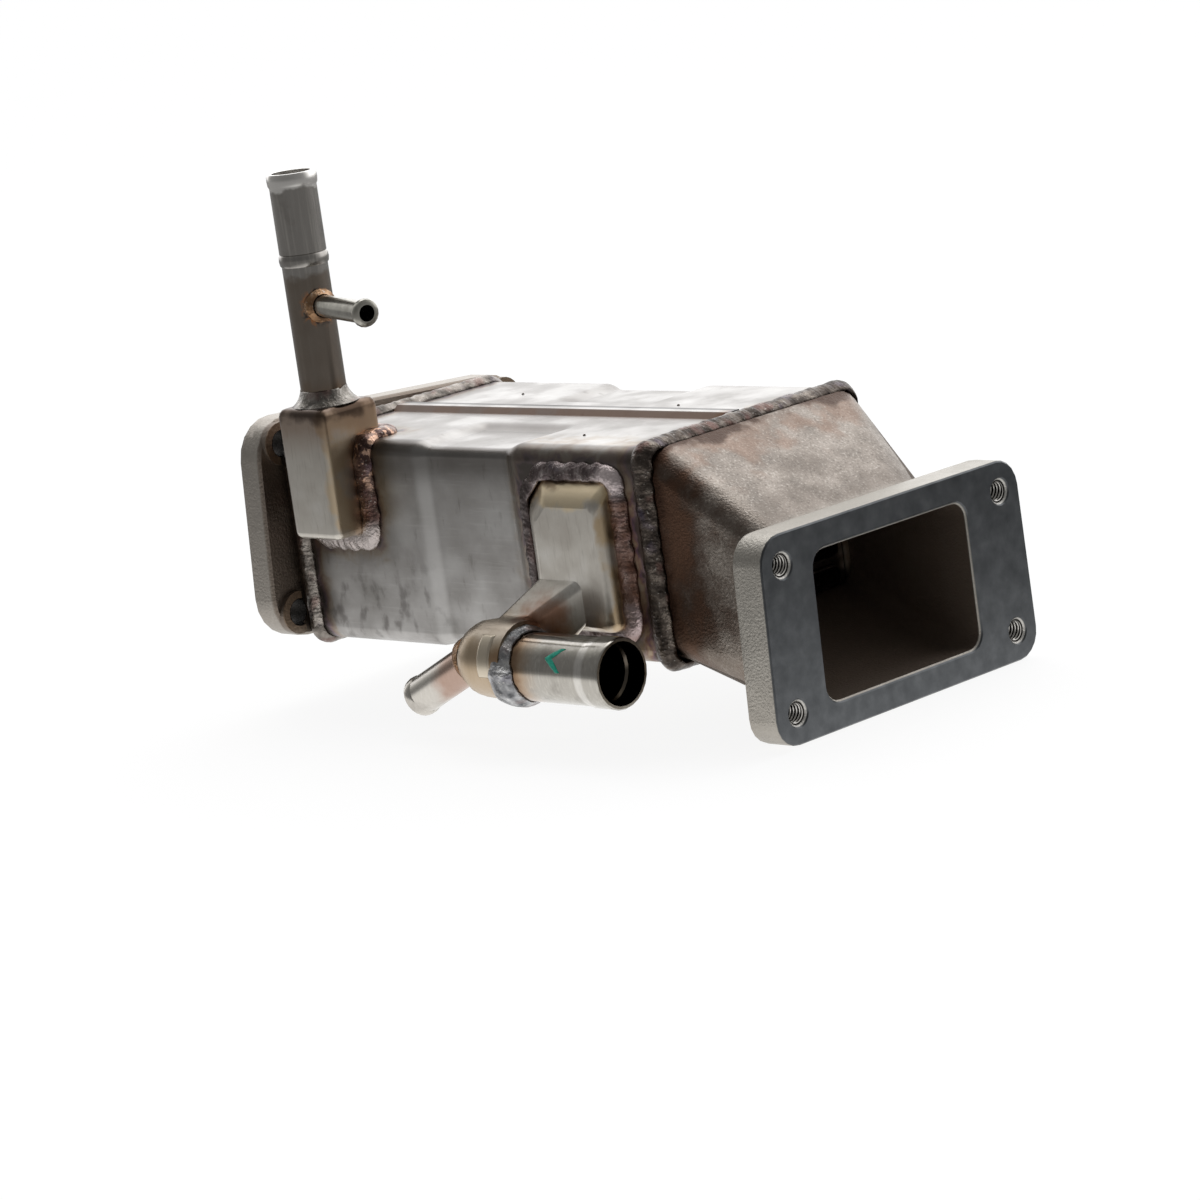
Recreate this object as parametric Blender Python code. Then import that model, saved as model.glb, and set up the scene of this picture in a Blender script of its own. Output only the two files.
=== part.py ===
"""Exhaust gas cooler: a tube bundle in a two-shell jacket with cast gas ends and welded coolant pipes.

While it is built, X runs along the gas path from inlet to outlet, Y points away from the coolant side
and Z is up, with zero at the middle of the jacket. The last step moves the whole cooler so that the
origin is the middle of the base of its bounding box. All sizes are in metres and angles in degrees.
"""

import math

import bmesh
import bpy
from mathutils import Matrix, Vector

# Clearance between two pieces that touch
FIT = 0.0003

# Jacket of two pressed half shells, lapped along the middle of the top and of the bottom
INLET_REACH = 0.0836
OUTLET_REACH = 0.0767
SHELL_WIDTH = 0.0960
SHELL_HEIGHT = 0.0678
SHELL_RADIUS = 0.0050
SHELL_WALL = 0.0015
LAP_WIDTH = 0.0050
LAP_JOGGLE = 0.0020
LAP_END_SETBACK = 0.0042
WAIST_START = -0.0260
WAIST_END = 0.0220
WAIST_DEPTH = 0.0020
WAIST_RAMP = 0.0070
WAIST_SEAM_DISTANCE = 0.0150
WAIST_SEAM_RAMP = 0.0060

# Core of flat gas tubes with folded fins, held in two header plates
HEADER_INSET = 0.0110
HEADER_THICKNESS = 0.0020
TUBE_COUNT = 7
TUBE_WIDTH = 0.0864
TUBE_HEIGHT = 0.0066
TUBE_WALL = 0.0006
TUBE_GAP = 0.0023
TUBE_PROJECTION = 0.0015
FIN_SHEET = 0.0003
FIN_WAVES = 11
FIN_SETBACK = 0.0030

# Cast gas inlet: a short neck and a bolting flange that is turned a little about the gas path
INLET_FLANGE_WIDTH = 0.1212
INLET_FLANGE_HEIGHT = 0.0736
INLET_FLANGE_RADIUS = 0.0140
INLET_FLANGE_THICKNESS = 0.0102
INLET_FLANGE_RISE = 0.0013
INLET_FLANGE_TURN = -3.6
INLET_NECK = 0.0036
INLET_OPENING_WIDTH = 0.0840
INLET_OPENING_HEIGHT = 0.0560
INLET_OPENING_RADIUS = 0.0100
INLET_BOLT_SPREAD = 0.1026
INLET_BOLT_RISE = 0.0564
INLET_BOLT_HOLE = 0.0088
INLET_BOSS_DIAMETER = 0.0144
INLET_BOSS_HEIGHT = 0.0020

# Cast gas outlet: a duct that steps down to a machined flange, a little wider at its foot
DUCT_LENGTH = 0.0553
OUTLET_FLANGE_WIDTH = 0.1214
OUTLET_FLANGE_HEIGHT = 0.0640
OUTLET_FLANGE_RADIUS = 0.0091
OUTLET_FLANGE_THICKNESS = 0.0116
OUTLET_FLANGE_DROP = 0.0218
OUTLET_FLANGE_TURN = -0.5
OUTLET_FLANGE_TAPER = 0.45
OUTLET_OPENING_WIDTH = 0.0716
OUTLET_OPENING_HEIGHT = 0.0464
OUTLET_OPENING_RADIUS = 0.0054
OUTLET_OPENING_SHIFT = -0.0016
OUTLET_OPENING_BEVEL = 0.0009
OUTLET_BOLT_SPREAD = 0.1026
OUTLET_BOLT_RISE = 0.0448
OUTLET_THREAD_CORE = 0.0068
OUTLET_COUNTERSINK = 0.0091
OUTLET_THREAD_DEPTH = 0.0100
DUCT_FRONT = 0.0460
DUCT_REAR = 0.0382
DUCT_TOP_STEP = 0.0007
DUCT_FOOT_STEP = 0.0026
DUCT_FRONT_TOP_RADIUS = 0.0090
DUCT_REAR_TOP_RADIUS = 0.0215
DUCT_FOOT_RADIUS = 0.0195
CASTING_RIM_RADIUS = 0.0090
CASTING_RIM_STEP = 0.0003
SPIGOT_DEPTH = 0.0035
SPIGOT_WALL = 0.0030
SPIGOT_RADIUS = 0.0060

# Weld rings that join the jacket to the castings
COLLAR_OVERLAP = 0.0038
COLLAR_RUNOUT = 0.0042
INLET_COLLAR_RUNOUT = 0.0030
COLLAR_HEIGHT = 0.0027

# Coolant inlet box, pressed over the top front edge of the jacket near the gas inlet
INBOX_CENTRE_X = -0.0617
INBOX_WIDTH = 0.0218
INBOX_FRONT = 0.0614
INBOX_BACK = 0.0360
INBOX_TOP = 0.0466
INBOX_FOOT = 0.0036
INBOX_RADIUS = 0.0024
INBOX_WALL = 0.0015
INBOX_PORT_WIDTH = 0.0130
INBOX_PORT_TOP = 0.0260
INBOX_WELD_SPREAD = 0.0060
INBOX_WELD_CLIMB = 0.0028

# Upright coolant inlet pipe on that box
INPIPE_DIAMETER = 0.0150
INPIPE_SLEEVE_DIAMETER = 0.0154
INPIPE_BORE = 0.0128
INPIPE_TOP = 0.1222
INPIPE_ENTRY = 0.0030
INPIPE_BEAD_DIAMETER = 0.0165
INPIPE_BEAD_LENGTH = 0.0046
INPIPE_STOP_BEAD = 0.0163
INPIPE_STOP_BEAD_LENGTH = 0.0040
INPIPE_STOP_BEAD_RISE = 0.0940
INPIPE_WELD_FOOT = 0.0196
INPIPE_WELD_HEIGHT = 0.0048
INPIPE_WELD_CROWN = 0.0010

# Vent nipple brazed into the upright pipe
NIPPLE_RISE = 0.0792
NIPPLE_TURN = -16.0
NIPPLE_DROP = 1.3
NIPPLE_REACH = 0.0405
NIPPLE_DIAMETER = 0.0072
NIPPLE_BORE = 0.0054
NIPPLE_BEAD_DIAMETER = 0.0093
NIPPLE_BEAD_LENGTH = 0.0030
NIPPLE_BRAZE_LEG = 0.0016

# Coolant outlet box, pressed and drafted, on the front of the jacket near the gas outlet
OUTBOX_LEFT = 0.0268
OUTBOX_RIGHT = 0.0642
OUTBOX_TOP = 0.0248
OUTBOX_FOOT = -0.0230
OUTBOX_HEIGHT = 0.0070
OUTBOX_DRAFT_LEFT = 0.0054
OUTBOX_DRAFT_TOP = 0.0056
OUTBOX_DRAFT_RIGHT = 0.0015
OUTBOX_CORNER_CUT = 0.0070
OUTBOX_RADIUS = 0.0032
OUTBOX_WALL = 0.0015
OUTBOX_PORT_WIDTH = 0.0220
OUTBOX_PORT_HEIGHT = 0.0260
OUTBOX_WELD_SPREAD = 0.0046
OUTBOX_WELD_CLIMB = 0.0024

# Duct and round head below that box
HEAD_DIAMETER = 0.0248
HEAD_STANDOFF = 0.0250
HEAD_RISE = -0.0275
HEAD_START = 0.0280
HEAD_END = 0.0410
HEAD_WALL = 0.0016
THROAT_ROOT_LEFT = 0.0312
THROAT_ROOT_RIGHT = 0.0512
THROAT_LEFT = 0.0245
THROAT_END_GAP = 0.0010
THROAT_TOP = -0.0150
THROAT_STANDOFF = 0.0180
THROAT_DROP = 0.0086
THROAT_ROOT_DEPTH = 0.0155
THROAT_DEPTH = 0.0205
THROAT_RADIUS = 0.0030
THROAT_SINK = 0.0004

# Coolant outlet pipe on the round head, and the bypass pipe on its far end
OUTPIPE_DIAMETER = 0.0214
OUTPIPE_BORE = 0.0186
OUTPIPE_END = 0.0820
OUTPIPE_ENTRY = 0.0040
OUTPIPE_DROP = 0.0017
OUTPIPE_BEAD_DIAMETER = 0.0223
OUTPIPE_BEAD_LENGTH = 0.0090
OUTPIPE_COUNTERBORE = 0.0198
OUTPIPE_COUNTERBORE_DEPTH = 0.0070
OUTPIPE_WELD_HEIGHT = 0.0024
OUTPIPE_WELD_WIDTH = 0.0070
BYPASS_DIAMETER = 0.0123
BYPASS_BORE = 0.0103
BYPASS_SLOPE = 26.6
BYPASS_START_RISE = 0.0040
BYPASS_LENGTH = 0.0426
BYPASS_ENTRY = 0.0030
BYPASS_BEAD_DIAMETER = 0.0133
BYPASS_BEAD_LENGTH = 0.0034
BYPASS_BRAZE_LEG = 0.0014

# Facets
CORNER_STEPS = 5
ROUND_STEPS = 24
FINE_ROUND_STEPS = 18
SHADE_ANGLE = 35.0

# Places worked out from the sizes above
HALF_WIDTH = SHELL_WIDTH / 2
HALF_HEIGHT = SHELL_HEIGHT / 2
LAP_RISE = SHELL_WALL + FIT
INLET_CASTING_X = -(INLET_REACH + FIT)
OUTLET_CASTING_X = OUTLET_REACH + FIT
FLANGE_FACE_X = OUTLET_CASTING_X + DUCT_LENGTH
FLANGE_BACK_X = FLANGE_FACE_X - OUTLET_FLANGE_THICKNESS
INLET_FLANGE_X = INLET_CASTING_X - INLET_NECK
INLET_FACE_X = INLET_FLANGE_X - INLET_FLANGE_THICKNESS
INBOX_CENTRE_Y = -(INBOX_FRONT + INBOX_BACK) / 2
HEAD_Y = -(HALF_WIDTH + HEAD_STANDOFF)
OUTPIPE_Z = HEAD_RISE - OUTPIPE_DROP

STEEL = dict(colour=(0.45, 0.44, 0.41), roughness=0.38, metallic=0.9)
CORE_STEEL = dict(colour=(0.30, 0.29, 0.27), roughness=0.45, metallic=0.9)
CASTING = dict(colour=(0.36, 0.33, 0.29), roughness=0.55, metallic=0.8)
WELD = dict(colour=(0.16, 0.14, 0.13), roughness=0.5, metallic=0.8)
PIPE_STEEL = dict(colour=(0.32, 0.30, 0.28), roughness=0.3, metallic=0.95)


def clear_scene():
    """Removes whatever the scene holds."""
    for found in list(bpy.data.objects):
        bpy.data.objects.remove(found, do_unlink=True)


def finish_of(name, colour, roughness, metallic):
    """A plain metal for one piece."""
    material = bpy.data.materials.new(name)
    material.use_nodes = True
    shader = material.node_tree.nodes["Principled BSDF"]
    shader.inputs["Base Color"].default_value = (*colour, 1.0)
    shader.inputs["Roughness"].default_value = roughness
    shader.inputs["Metallic"].default_value = metallic
    return material


def piece(name, shape, finish):
    """Puts a bmesh in the scene as one piece of the cooler."""
    bmesh.ops.recalc_face_normals(shape, faces=shape.faces)
    mesh = bpy.data.meshes.new(name)
    shape.to_mesh(mesh)
    shape.free()
    mesh.shade_smooth()
    mesh.set_sharp_from_angle(angle=math.radians(35))
    mesh.materials.append(finish_of(name + "_finish", **finish))
    made = bpy.data.objects.new(name, mesh)
    bpy.context.scene.collection.objects.link(made)
    return made


def cutter(name, shape):
    """A helper solid that other pieces are cut by or joined from."""
    made = piece(name, shape, STEEL)
    made.hide_render = True
    made.display_type = "WIRE"
    return made


def combine(target, other, operation):
    """Adds a Boolean to a piece."""
    modifier = target.modifiers.new(operation.lower() + "_" + other.name, "BOOLEAN")
    modifier.operation = operation
    modifier.object = other


def arc(centre, radius, start, end, steps):
    """Points on an arc, from one angle in degrees to another."""
    points = []
    for step in range(steps + 1):
        angle = math.radians(start + (end - start) * step / steps)
        points.append((centre[0] + radius * math.cos(angle), centre[1] + radius * math.sin(angle)))
    return points


def rounded_rectangle(width, height, top_radius, foot_radius=None, centre=(0.0, 0.0)):
    """A rectangle with arcs at its corners, anticlockwise, as (across, up) points."""
    foot = top_radius if foot_radius is None else foot_radius
    corners = ((1, 1, top_radius, 0), (-1, 1, top_radius, 90), (-1, -1, foot, 180), (1, -1, foot, 270))
    points = []
    for side, level, radius, start in corners:
        middle = (
            centre[0] + side * (width / 2 - radius),
            centre[1] + level * (height / 2 - radius),
        )
        points += arc(middle, radius, start, start + 90, CORNER_STEPS)
    return points


def rounded_polygon(corners, radius):
    """A polygon with an arc of one radius at each corner."""
    points = []
    for index, corner in enumerate(corners):
        here = Vector(corner)
        before = (Vector(corners[index - 1]) - here).normalized()
        after = (Vector(corners[(index + 1) % len(corners)]) - here).normalized()
        half = before.angle(after) / 2
        middle = here + (before + after).normalized() * radius / math.sin(half)
        first = here + before * radius / math.tan(half) - middle
        last = here + after * radius / math.tan(half) - middle
        sweep = first.angle_signed(last)
        for step in range(CORNER_STEPS):
            turned = first.copy()
            turned.rotate(Matrix.Rotation(-sweep * step / (CORNER_STEPS - 1), 2))
            points.append(tuple(middle + turned))
    return points


def at_x(outline, x):
    """Stands a (y, z) outline up at one X."""
    return [Vector((x, across, up)) for across, up in outline]


def at_y(outline, y):
    """Stands an (x, z) outline up at one Y."""
    return [Vector((along, y, up)) for along, up in outline]


def at_z(outline, z):
    """Lays an (x, y) outline at one Z."""
    return [Vector((along, across, z)) for along, across in outline]


def turned_outline(outline, degrees, centre):
    """Turns a (y, z) outline about a point."""
    turn = Matrix.Rotation(math.radians(degrees), 2)
    middle = Vector(centre)
    return [tuple(middle + turn @ (Vector(point) - middle)) for point in outline]


def loop_of(shape, points):
    """Adds one closed loop of edges."""
    corners = [shape.verts.new(point) for point in points]
    count = len(corners)
    return [shape.edges.new((corners[i], corners[(i + 1) % count])) for i in range(count)]


def grow_ring(shape, corners, edges, places):
    """Extrudes a chain of edges and moves its new corners to their places."""
    grown = bmesh.ops.extrude_edge_only(shape, edges=edges)["geom"]
    fresh = {item for item in grown if isinstance(item, bmesh.types.BMVert)}
    moved = []
    for corner, place in zip(corners, places):
        for edge in corner.link_edges:
            partner = edge.other_vert(corner)
            if partner in fresh:
                partner.co = place
                moved.append(partner)
                break
    rim = [item for item in grown if isinstance(item, bmesh.types.BMEdge) and set(item.verts) <= fresh]
    return moved, rim


def loft(rings, returns=False):
    """Extrudes a ring through the others: capped at both ends, or joined to the first when it returns."""
    shape = bmesh.new()
    edges = loop_of(shape, rings[0])
    first = list(shape.verts)
    corners = first
    start = list(edges)
    for ring in rings[1:]:
        corners, edges = grow_ring(shape, corners, edges, ring)
    if returns:
        last, edges = grow_ring(shape, corners, edges, rings[0])
        bmesh.ops.weld_verts(shape, targetmap=dict(zip(last, first)))
    else:
        bmesh.ops.contextual_create(shape, geom=start)
        bmesh.ops.contextual_create(shape, geom=edges)
    return shape


def turned(profile, start, direction, steps=ROUND_STEPS):
    """Spins a closed (radius, along) profile about an axis through start."""
    shape = bmesh.new()
    frame = axis_frame(direction)
    edges = loop_of(shape, [frame @ Vector((radius, 0.0, along)) + start for radius, along in profile])
    corners = list(shape.verts)
    bmesh.ops.spin(
        shape,
        geom=corners + edges,
        cent=start,
        axis=frame @ Vector((0.0, 0.0, 1.0)),
        angle=math.tau,
        steps=steps,
        use_merge=True,
    )
    return shape


def axis_frame(direction):
    """A rotation that takes +Z to a direction."""
    return Vector((0.0, 0.0, 1.0)).rotation_difference(direction).to_matrix()


def rod(diameter, start, direction, length, steps=ROUND_STEPS):
    """A solid cylinder that begins at start."""
    shape = bmesh.new()
    middle = start + direction * length / 2
    placed = Matrix.Translation(middle) @ axis_frame(direction).to_4x4()
    bmesh.ops.create_cone(
        shape,
        cap_ends=True,
        segments=steps,
        radius1=diameter / 2,
        radius2=diameter / 2,
        depth=length,
        matrix=placed,
    )
    return shape


def block(low, high):
    """A box between two corners."""
    shape = bmesh.new()
    size = Vector(high) - Vector(low)
    middle = (Vector(high) + Vector(low)) / 2
    placed = Matrix.Translation(middle) @ Matrix.Diagonal((*size, 1.0))
    bmesh.ops.create_cube(shape, size=1.0, matrix=placed)
    return shape


def smooth_step(value):
    """Rises from 0 to 1 with level ends."""
    bounded = min(max(value, 0.0), 1.0)
    return bounded * bounded * (3.0 - 2.0 * bounded)


def waist_share(x, y):
    """How much of the waist's depth the jacket has at one place."""
    rising = smooth_step((x - WAIST_START) / WAIST_RAMP)
    falling = smooth_step((WAIST_END - x) / WAIST_RAMP)
    from_seam = smooth_step((abs(y) - WAIST_SEAM_DISTANCE) / WAIST_SEAM_RAMP)
    return min(rising, falling) * from_seam


def half_profile(seam_points):
    """The front half of the jacket's section from its top seam to its bottom seam, with outward normals."""
    inner_y = -(HALF_WIDTH - SHELL_RADIUS)
    inner_z = HALF_HEIGHT - SHELL_RADIUS
    waist_ys = [-WAIST_SEAM_DISTANCE - WAIST_SEAM_RAMP * share for share in (0.0, 0.25, 0.5, 0.75, 1.0)]
    upper = [(Vector(point), Vector((0.0, 1.0))) for point in seam_points]
    upper += [(Vector((y, HALF_HEIGHT)), Vector((0.0, 1.0))) for y in waist_ys]
    for across, up in arc((0.0, 0.0), 1.0, 90, 180, CORNER_STEPS):
        normal = Vector((across, up))
        upper.append((Vector((inner_y, inner_z)) + normal * SHELL_RADIUS, normal))
    lower = [(Vector((p.x, -p.y)), Vector((n.x, -n.y))) for p, n in reversed(upper)]
    return upper + lower


def shell_stations():
    """The X places of the sections of a half shell, close together on the waist's two ramps."""
    shares = (0.0, 0.2, 0.4, 0.6, 0.8, 1.0)
    entry = [WAIST_START + WAIST_RAMP * share for share in shares]
    leaving = [WAIST_END - WAIST_RAMP * share for share in reversed(shares)]
    return [-INLET_REACH] + entry + leaving + [OUTLET_REACH]


def half_shell(name, seam_points, side):
    """One pressed half of the jacket, with its waist pressed in, thickened inwards."""
    profile = half_profile(seam_points)
    shape = bmesh.new()
    rows = []
    for x in shell_stations():
        row = []
        for point, normal in profile:
            sunk = point - normal * WAIST_DEPTH * waist_share(x, point.x)
            row.append(shape.verts.new((x, side * sunk.x, sunk.y)))
        rows.append(row)
    for row, following in zip(rows, rows[1:]):
        for i in range(len(row) - 1):
            corners = (row[i], row[i + 1], following[i + 1], following[i])
            shape.faces.new(corners if side > 0 else tuple(reversed(corners)))
    mesh = bpy.data.meshes.new(name)
    shape.to_mesh(mesh)
    shape.free()
    mesh.shade_smooth()
    mesh.set_sharp_from_angle(angle=math.radians(35))
    mesh.materials.append(finish_of(name + "_finish", **STEEL))
    made = bpy.data.objects.new(name, mesh)
    bpy.context.scene.collection.objects.link(made)
    wall = made.modifiers.new("wall", "SOLIDIFY")
    wall.thickness = SHELL_WALL
    wall.offset = -1.0
    wall.use_even_offset = True
    return made


def make_jacket():
    """The front shell laps over the rear one along both seams, and both have their coolant ports cut."""
    half_lap = LAP_WIDTH / 2
    raised = HALF_HEIGHT + LAP_RISE
    lap_points = [(half_lap, raised), (-half_lap, raised), (-half_lap - LAP_JOGGLE, HALF_HEIGHT)]
    front = half_shell("front_shell", lap_points, 1)
    tucked = half_lap - SHELL_WALL / 2
    rear = half_shell("rear_shell", [(tucked, HALF_HEIGHT)], -1)
    for level in (1, -1):
        for end, jacket_end in ((-1, -INLET_REACH), (1, OUTLET_REACH)):
            lap_end = jacket_end - end * LAP_END_SETBACK
            beyond = jacket_end + end * FIT
            first = (lap_end, -half_lap - LAP_JOGGLE - FIT, level * HALF_HEIGHT)
            last = (beyond, half_lap + FIT, level * (HALF_HEIGHT + 3 * LAP_RISE))
            low = [min(pair) for pair in zip(first, last)]
            high = [max(pair) for pair in zip(first, last)]
            combine(front, cutter("lap_trim_%d_%d" % (level, end), block(low, high)), "DIFFERENCE")
    combine(front, cutter("inlet_port", inlet_port()), "DIFFERENCE")
    combine(front, cutter("outlet_port", outlet_port()), "DIFFERENCE")


def inlet_port():
    """The window through the front of the jacket behind the coolant inlet box."""
    low = INBOX_FOOT + INBOX_WALL + INBOX_RADIUS
    outline = rounded_rectangle(
        INBOX_PORT_WIDTH,
        INBOX_PORT_TOP - low,
        INBOX_RADIUS,
        centre=(INBOX_CENTRE_X, (INBOX_PORT_TOP + low) / 2),
    )
    depth = 3 * SHELL_WALL
    return loft([at_y(outline, -HALF_WIDTH - depth), at_y(outline, -HALF_WIDTH + depth)])


def outlet_port():
    """The window through the front of the jacket behind the coolant outlet box."""
    middle = ((OUTBOX_LEFT + OUTBOX_DRAFT_LEFT + OUTBOX_RIGHT) / 2, (OUTBOX_TOP + OUTBOX_FOOT) / 2)
    outline = rounded_rectangle(OUTBOX_PORT_WIDTH, OUTBOX_PORT_HEIGHT, OUTBOX_RADIUS, centre=middle)
    depth = 3 * SHELL_WALL
    return loft([at_y(outline, -HALF_WIDTH - depth), at_y(outline, -HALF_WIDTH + depth)])


def tube_outline(width, height, level):
    """A flat tube's section with full round edges."""
    half = height / 2
    reach = width / 2 - half
    return arc((reach, level), half, -90, 90, CORNER_STEPS) + arc((-reach, level), half, 90, 270, CORNER_STEPS)


def tube_levels():
    """The heights of the tubes' middles."""
    pitch = TUBE_HEIGHT + TUBE_GAP
    return [pitch * (index - (TUBE_COUNT - 1) / 2) for index in range(TUBE_COUNT)]


def fin_outline(level):
    """A folded strip that touches the top and the bottom of its tube, as one closed outline."""
    inner = TUBE_HEIGHT / 2 - TUBE_WALL - FIT
    reach = (TUBE_WIDTH - TUBE_HEIGHT) / 2
    pitch = 2 * reach / FIN_WAVES
    flat = pitch * 0.32
    upper, lower = [], []
    for wave in range(2 * FIN_WAVES):
        start = -reach + wave * pitch / 2
        crest = inner if wave % 2 else -inner + FIN_SHEET
        upper += [(start, level + crest), (start + flat, level + crest)]
        lower += [(start, level + crest - FIN_SHEET), (start + flat, level + crest - FIN_SHEET)]
    lean = FIN_SHEET * 0.9
    slid = []
    for index, (across, up) in enumerate(lower):
        wave = index // 2
        inward = lean if wave % 2 else -lean
        slid.append((across + (inward if index % 2 == 0 else -inward), up))
    return upper + list(reversed(slid))


def make_core():
    """Header plates, flat tubes and folded fins."""
    plate_width = SHELL_WIDTH - 2 * (SHELL_WALL + FIT)
    plate_height = SHELL_HEIGHT - 2 * (SHELL_WALL + FIT)
    plate = rounded_rectangle(plate_width, plate_height, SHELL_RADIUS - SHELL_WALL)
    slots = []
    for index, level in enumerate(tube_levels()):
        slot = tube_outline(TUBE_WIDTH + 2 * FIT, TUBE_HEIGHT + 2 * FIT, level)
        shape = loft([at_x(slot, -INLET_REACH), at_x(slot, OUTLET_REACH)])
        slots.append(cutter("tube_slot_%d" % (index + 1), shape))
    inlet_header = -INLET_REACH + HEADER_INSET
    outlet_header = OUTLET_REACH - HEADER_INSET
    for name, x, side in (("inlet_header_plate", inlet_header, -1), ("outlet_header_plate", outlet_header, 1)):
        shape = loft([at_x(plate, x), at_x(plate, x + side * HEADER_THICKNESS)])
        header = piece(name, shape, CORE_STEEL)
        for slot in slots:
            combine(header, slot, "DIFFERENCE")
    start = inlet_header - HEADER_THICKNESS - TUBE_PROJECTION
    end = outlet_header + HEADER_THICKNESS + TUBE_PROJECTION
    for index, level in enumerate(tube_levels()):
        outer = tube_outline(TUBE_WIDTH, TUBE_HEIGHT, level)
        inner = tube_outline(TUBE_WIDTH - 2 * TUBE_WALL, TUBE_HEIGHT - 2 * TUBE_WALL, level)
        rings = [at_x(outer, start), at_x(outer, end), at_x(inner, end), at_x(inner, start)]
        piece("gas_tube_%d" % (index + 1), loft(rings, returns=True), CORE_STEEL)
        fin = fin_outline(level)
        shape = loft([at_x(fin, start + FIN_SETBACK), at_x(fin, end - FIN_SETBACK)])
        piece("fin_%d" % (index + 1), shape, CORE_STEEL)


def spigot_outline():
    """The lip of a casting that slides inside the jacket's end."""
    inset = 2 * (SHELL_WALL + FIT)
    return rounded_rectangle(SHELL_WIDTH - inset, SHELL_HEIGHT - inset, SPIGOT_RADIUS)


def spigot_bore():
    """The inside of that lip."""
    inset = 2 * (SHELL_WALL + FIT + SPIGOT_WALL)
    return rounded_rectangle(SHELL_WIDTH - inset, SHELL_HEIGHT - inset, SPIGOT_RADIUS - FIT)


def jacket_outline(growth):
    """The outside of the jacket's ends, grown outwards."""
    return rounded_rectangle(SHELL_WIDTH + 2 * growth, SHELL_HEIGHT + 2 * growth, SHELL_RADIUS + growth)


def casting_rim(growth=0.0):
    """The outside of a casting where it meets the jacket, almost flush with it."""
    reach = 2 * (growth - CASTING_RIM_STEP)
    return rounded_rectangle(SHELL_WIDTH + reach, SHELL_HEIGHT + reach, CASTING_RIM_RADIUS + growth)


def blend(first, second, share):
    """An outline part of the way from one to another."""
    return [tuple(Vector(a).lerp(Vector(b), share)) for a, b in zip(first, second)]


def make_inlet_casting():
    """Flange of the gas inlet with bosses round its bolt holes, and the short neck in the jacket's end."""
    centre = (0.0, INLET_FLANGE_RISE)
    edge = 0.0010

    def flange(inset):
        outline = rounded_rectangle(
            INLET_FLANGE_WIDTH - 2 * inset,
            INLET_FLANGE_HEIGHT - 2 * inset,
            INLET_FLANGE_RADIUS - inset,
            centre=centre,
        )
        return turned_outline(outline, INLET_FLANGE_TURN, centre)

    opening = rounded_rectangle(
        INLET_OPENING_WIDTH, INLET_OPENING_HEIGHT, INLET_OPENING_RADIUS, centre=centre
    )
    opening = turned_outline(opening, INLET_FLANGE_TURN, centre)
    rings = [
        at_x(flange(edge), INLET_FLANGE_X),
        at_x(flange(0.0), INLET_FLANGE_X - edge),
        at_x(flange(0.0), INLET_FACE_X + edge),
        at_x(flange(edge), INLET_FACE_X),
        at_x(opening, INLET_FACE_X),
        at_x(opening, INLET_FLANGE_X),
    ]
    casting = piece("inlet_casting", loft(rings, returns=True), CASTING)
    across = Vector((1.0, 0.0, 0.0))
    places = []
    for name, place in bolt_places(INLET_BOLT_SPREAD, INLET_BOLT_RISE):
        y, z = turned_outline([(place[0], place[1] + centre[1])], INLET_FLANGE_TURN, centre)[0]
        places.append((name, y, z))
        root = Vector((INLET_FLANGE_X - INLET_FLANGE_THICKNESS / 2, y, z))
        length = INLET_FLANGE_THICKNESS / 2 + INLET_BOSS_HEIGHT
        boss = rod(INLET_BOSS_DIAMETER, root, across, length)
        combine(casting, cutter("inlet_boss_" + name, boss), "UNION")
    outer = jacket_outline(COLLAR_HEIGHT + 2 * FIT)
    beyond = INLET_FLANGE_X + 2 * INLET_BOSS_HEIGHT
    relief = loft([at_x(outer, INLET_FLANGE_X), at_x(outer, beyond)])
    combine(casting, cutter("inlet_collar_relief", relief), "DIFFERENCE")
    neck = casting_rim()
    inside = INLET_FLANGE_X - INLET_FLANGE_THICKNESS / 2
    rings = [
        at_x(spigot_outline(), INLET_CASTING_X + SPIGOT_DEPTH),
        at_x(spigot_outline(), INLET_CASTING_X),
        at_x(neck, INLET_CASTING_X),
        at_x(neck, inside),
        at_x(blend(opening, spigot_bore(), 0.05), inside),
        at_x(spigot_bore(), INLET_CASTING_X),
        at_x(spigot_bore(), INLET_CASTING_X + SPIGOT_DEPTH),
    ]
    combine(casting, cutter("inlet_neck", loft(rings, returns=True)), "UNION")
    for name, y, z in places:
        through = Vector((INLET_FACE_X - 0.002, y, z))
        length = INLET_FLANGE_THICKNESS + INLET_BOSS_HEIGHT + 0.004
        hole = cutter("inlet_hole_" + name, rod(INLET_BOLT_HOLE, through, across, length))
        combine(casting, hole, "DIFFERENCE")


def bolt_places(spread, rise):
    """Names and (y, z) places of four holes about a flange's middle."""
    return [
        ("front_top", (-spread / 2, rise / 2)),
        ("rear_top", (spread / 2, rise / 2)),
        ("rear_foot", (spread / 2, -rise / 2)),
        ("front_foot", (-spread / 2, -rise / 2)),
    ]


def outlet_flange_point(across, up):
    """A point of the outlet flange, widened towards its foot, turned and dropped into place."""
    widened = across * (1.0 - OUTLET_FLANGE_TAPER * up)
    turned_place = Matrix.Rotation(math.radians(OUTLET_FLANGE_TURN), 2) @ Vector((widened, up))
    return (turned_place.x, turned_place.y - OUTLET_FLANGE_DROP)


def outlet_flange_outline(inset):
    """The rim of the outlet flange."""
    outline = rounded_rectangle(
        OUTLET_FLANGE_WIDTH - 2 * inset,
        OUTLET_FLANGE_HEIGHT - 2 * inset,
        OUTLET_FLANGE_RADIUS - inset,
    )
    return [outlet_flange_point(*point) for point in outline]


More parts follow.
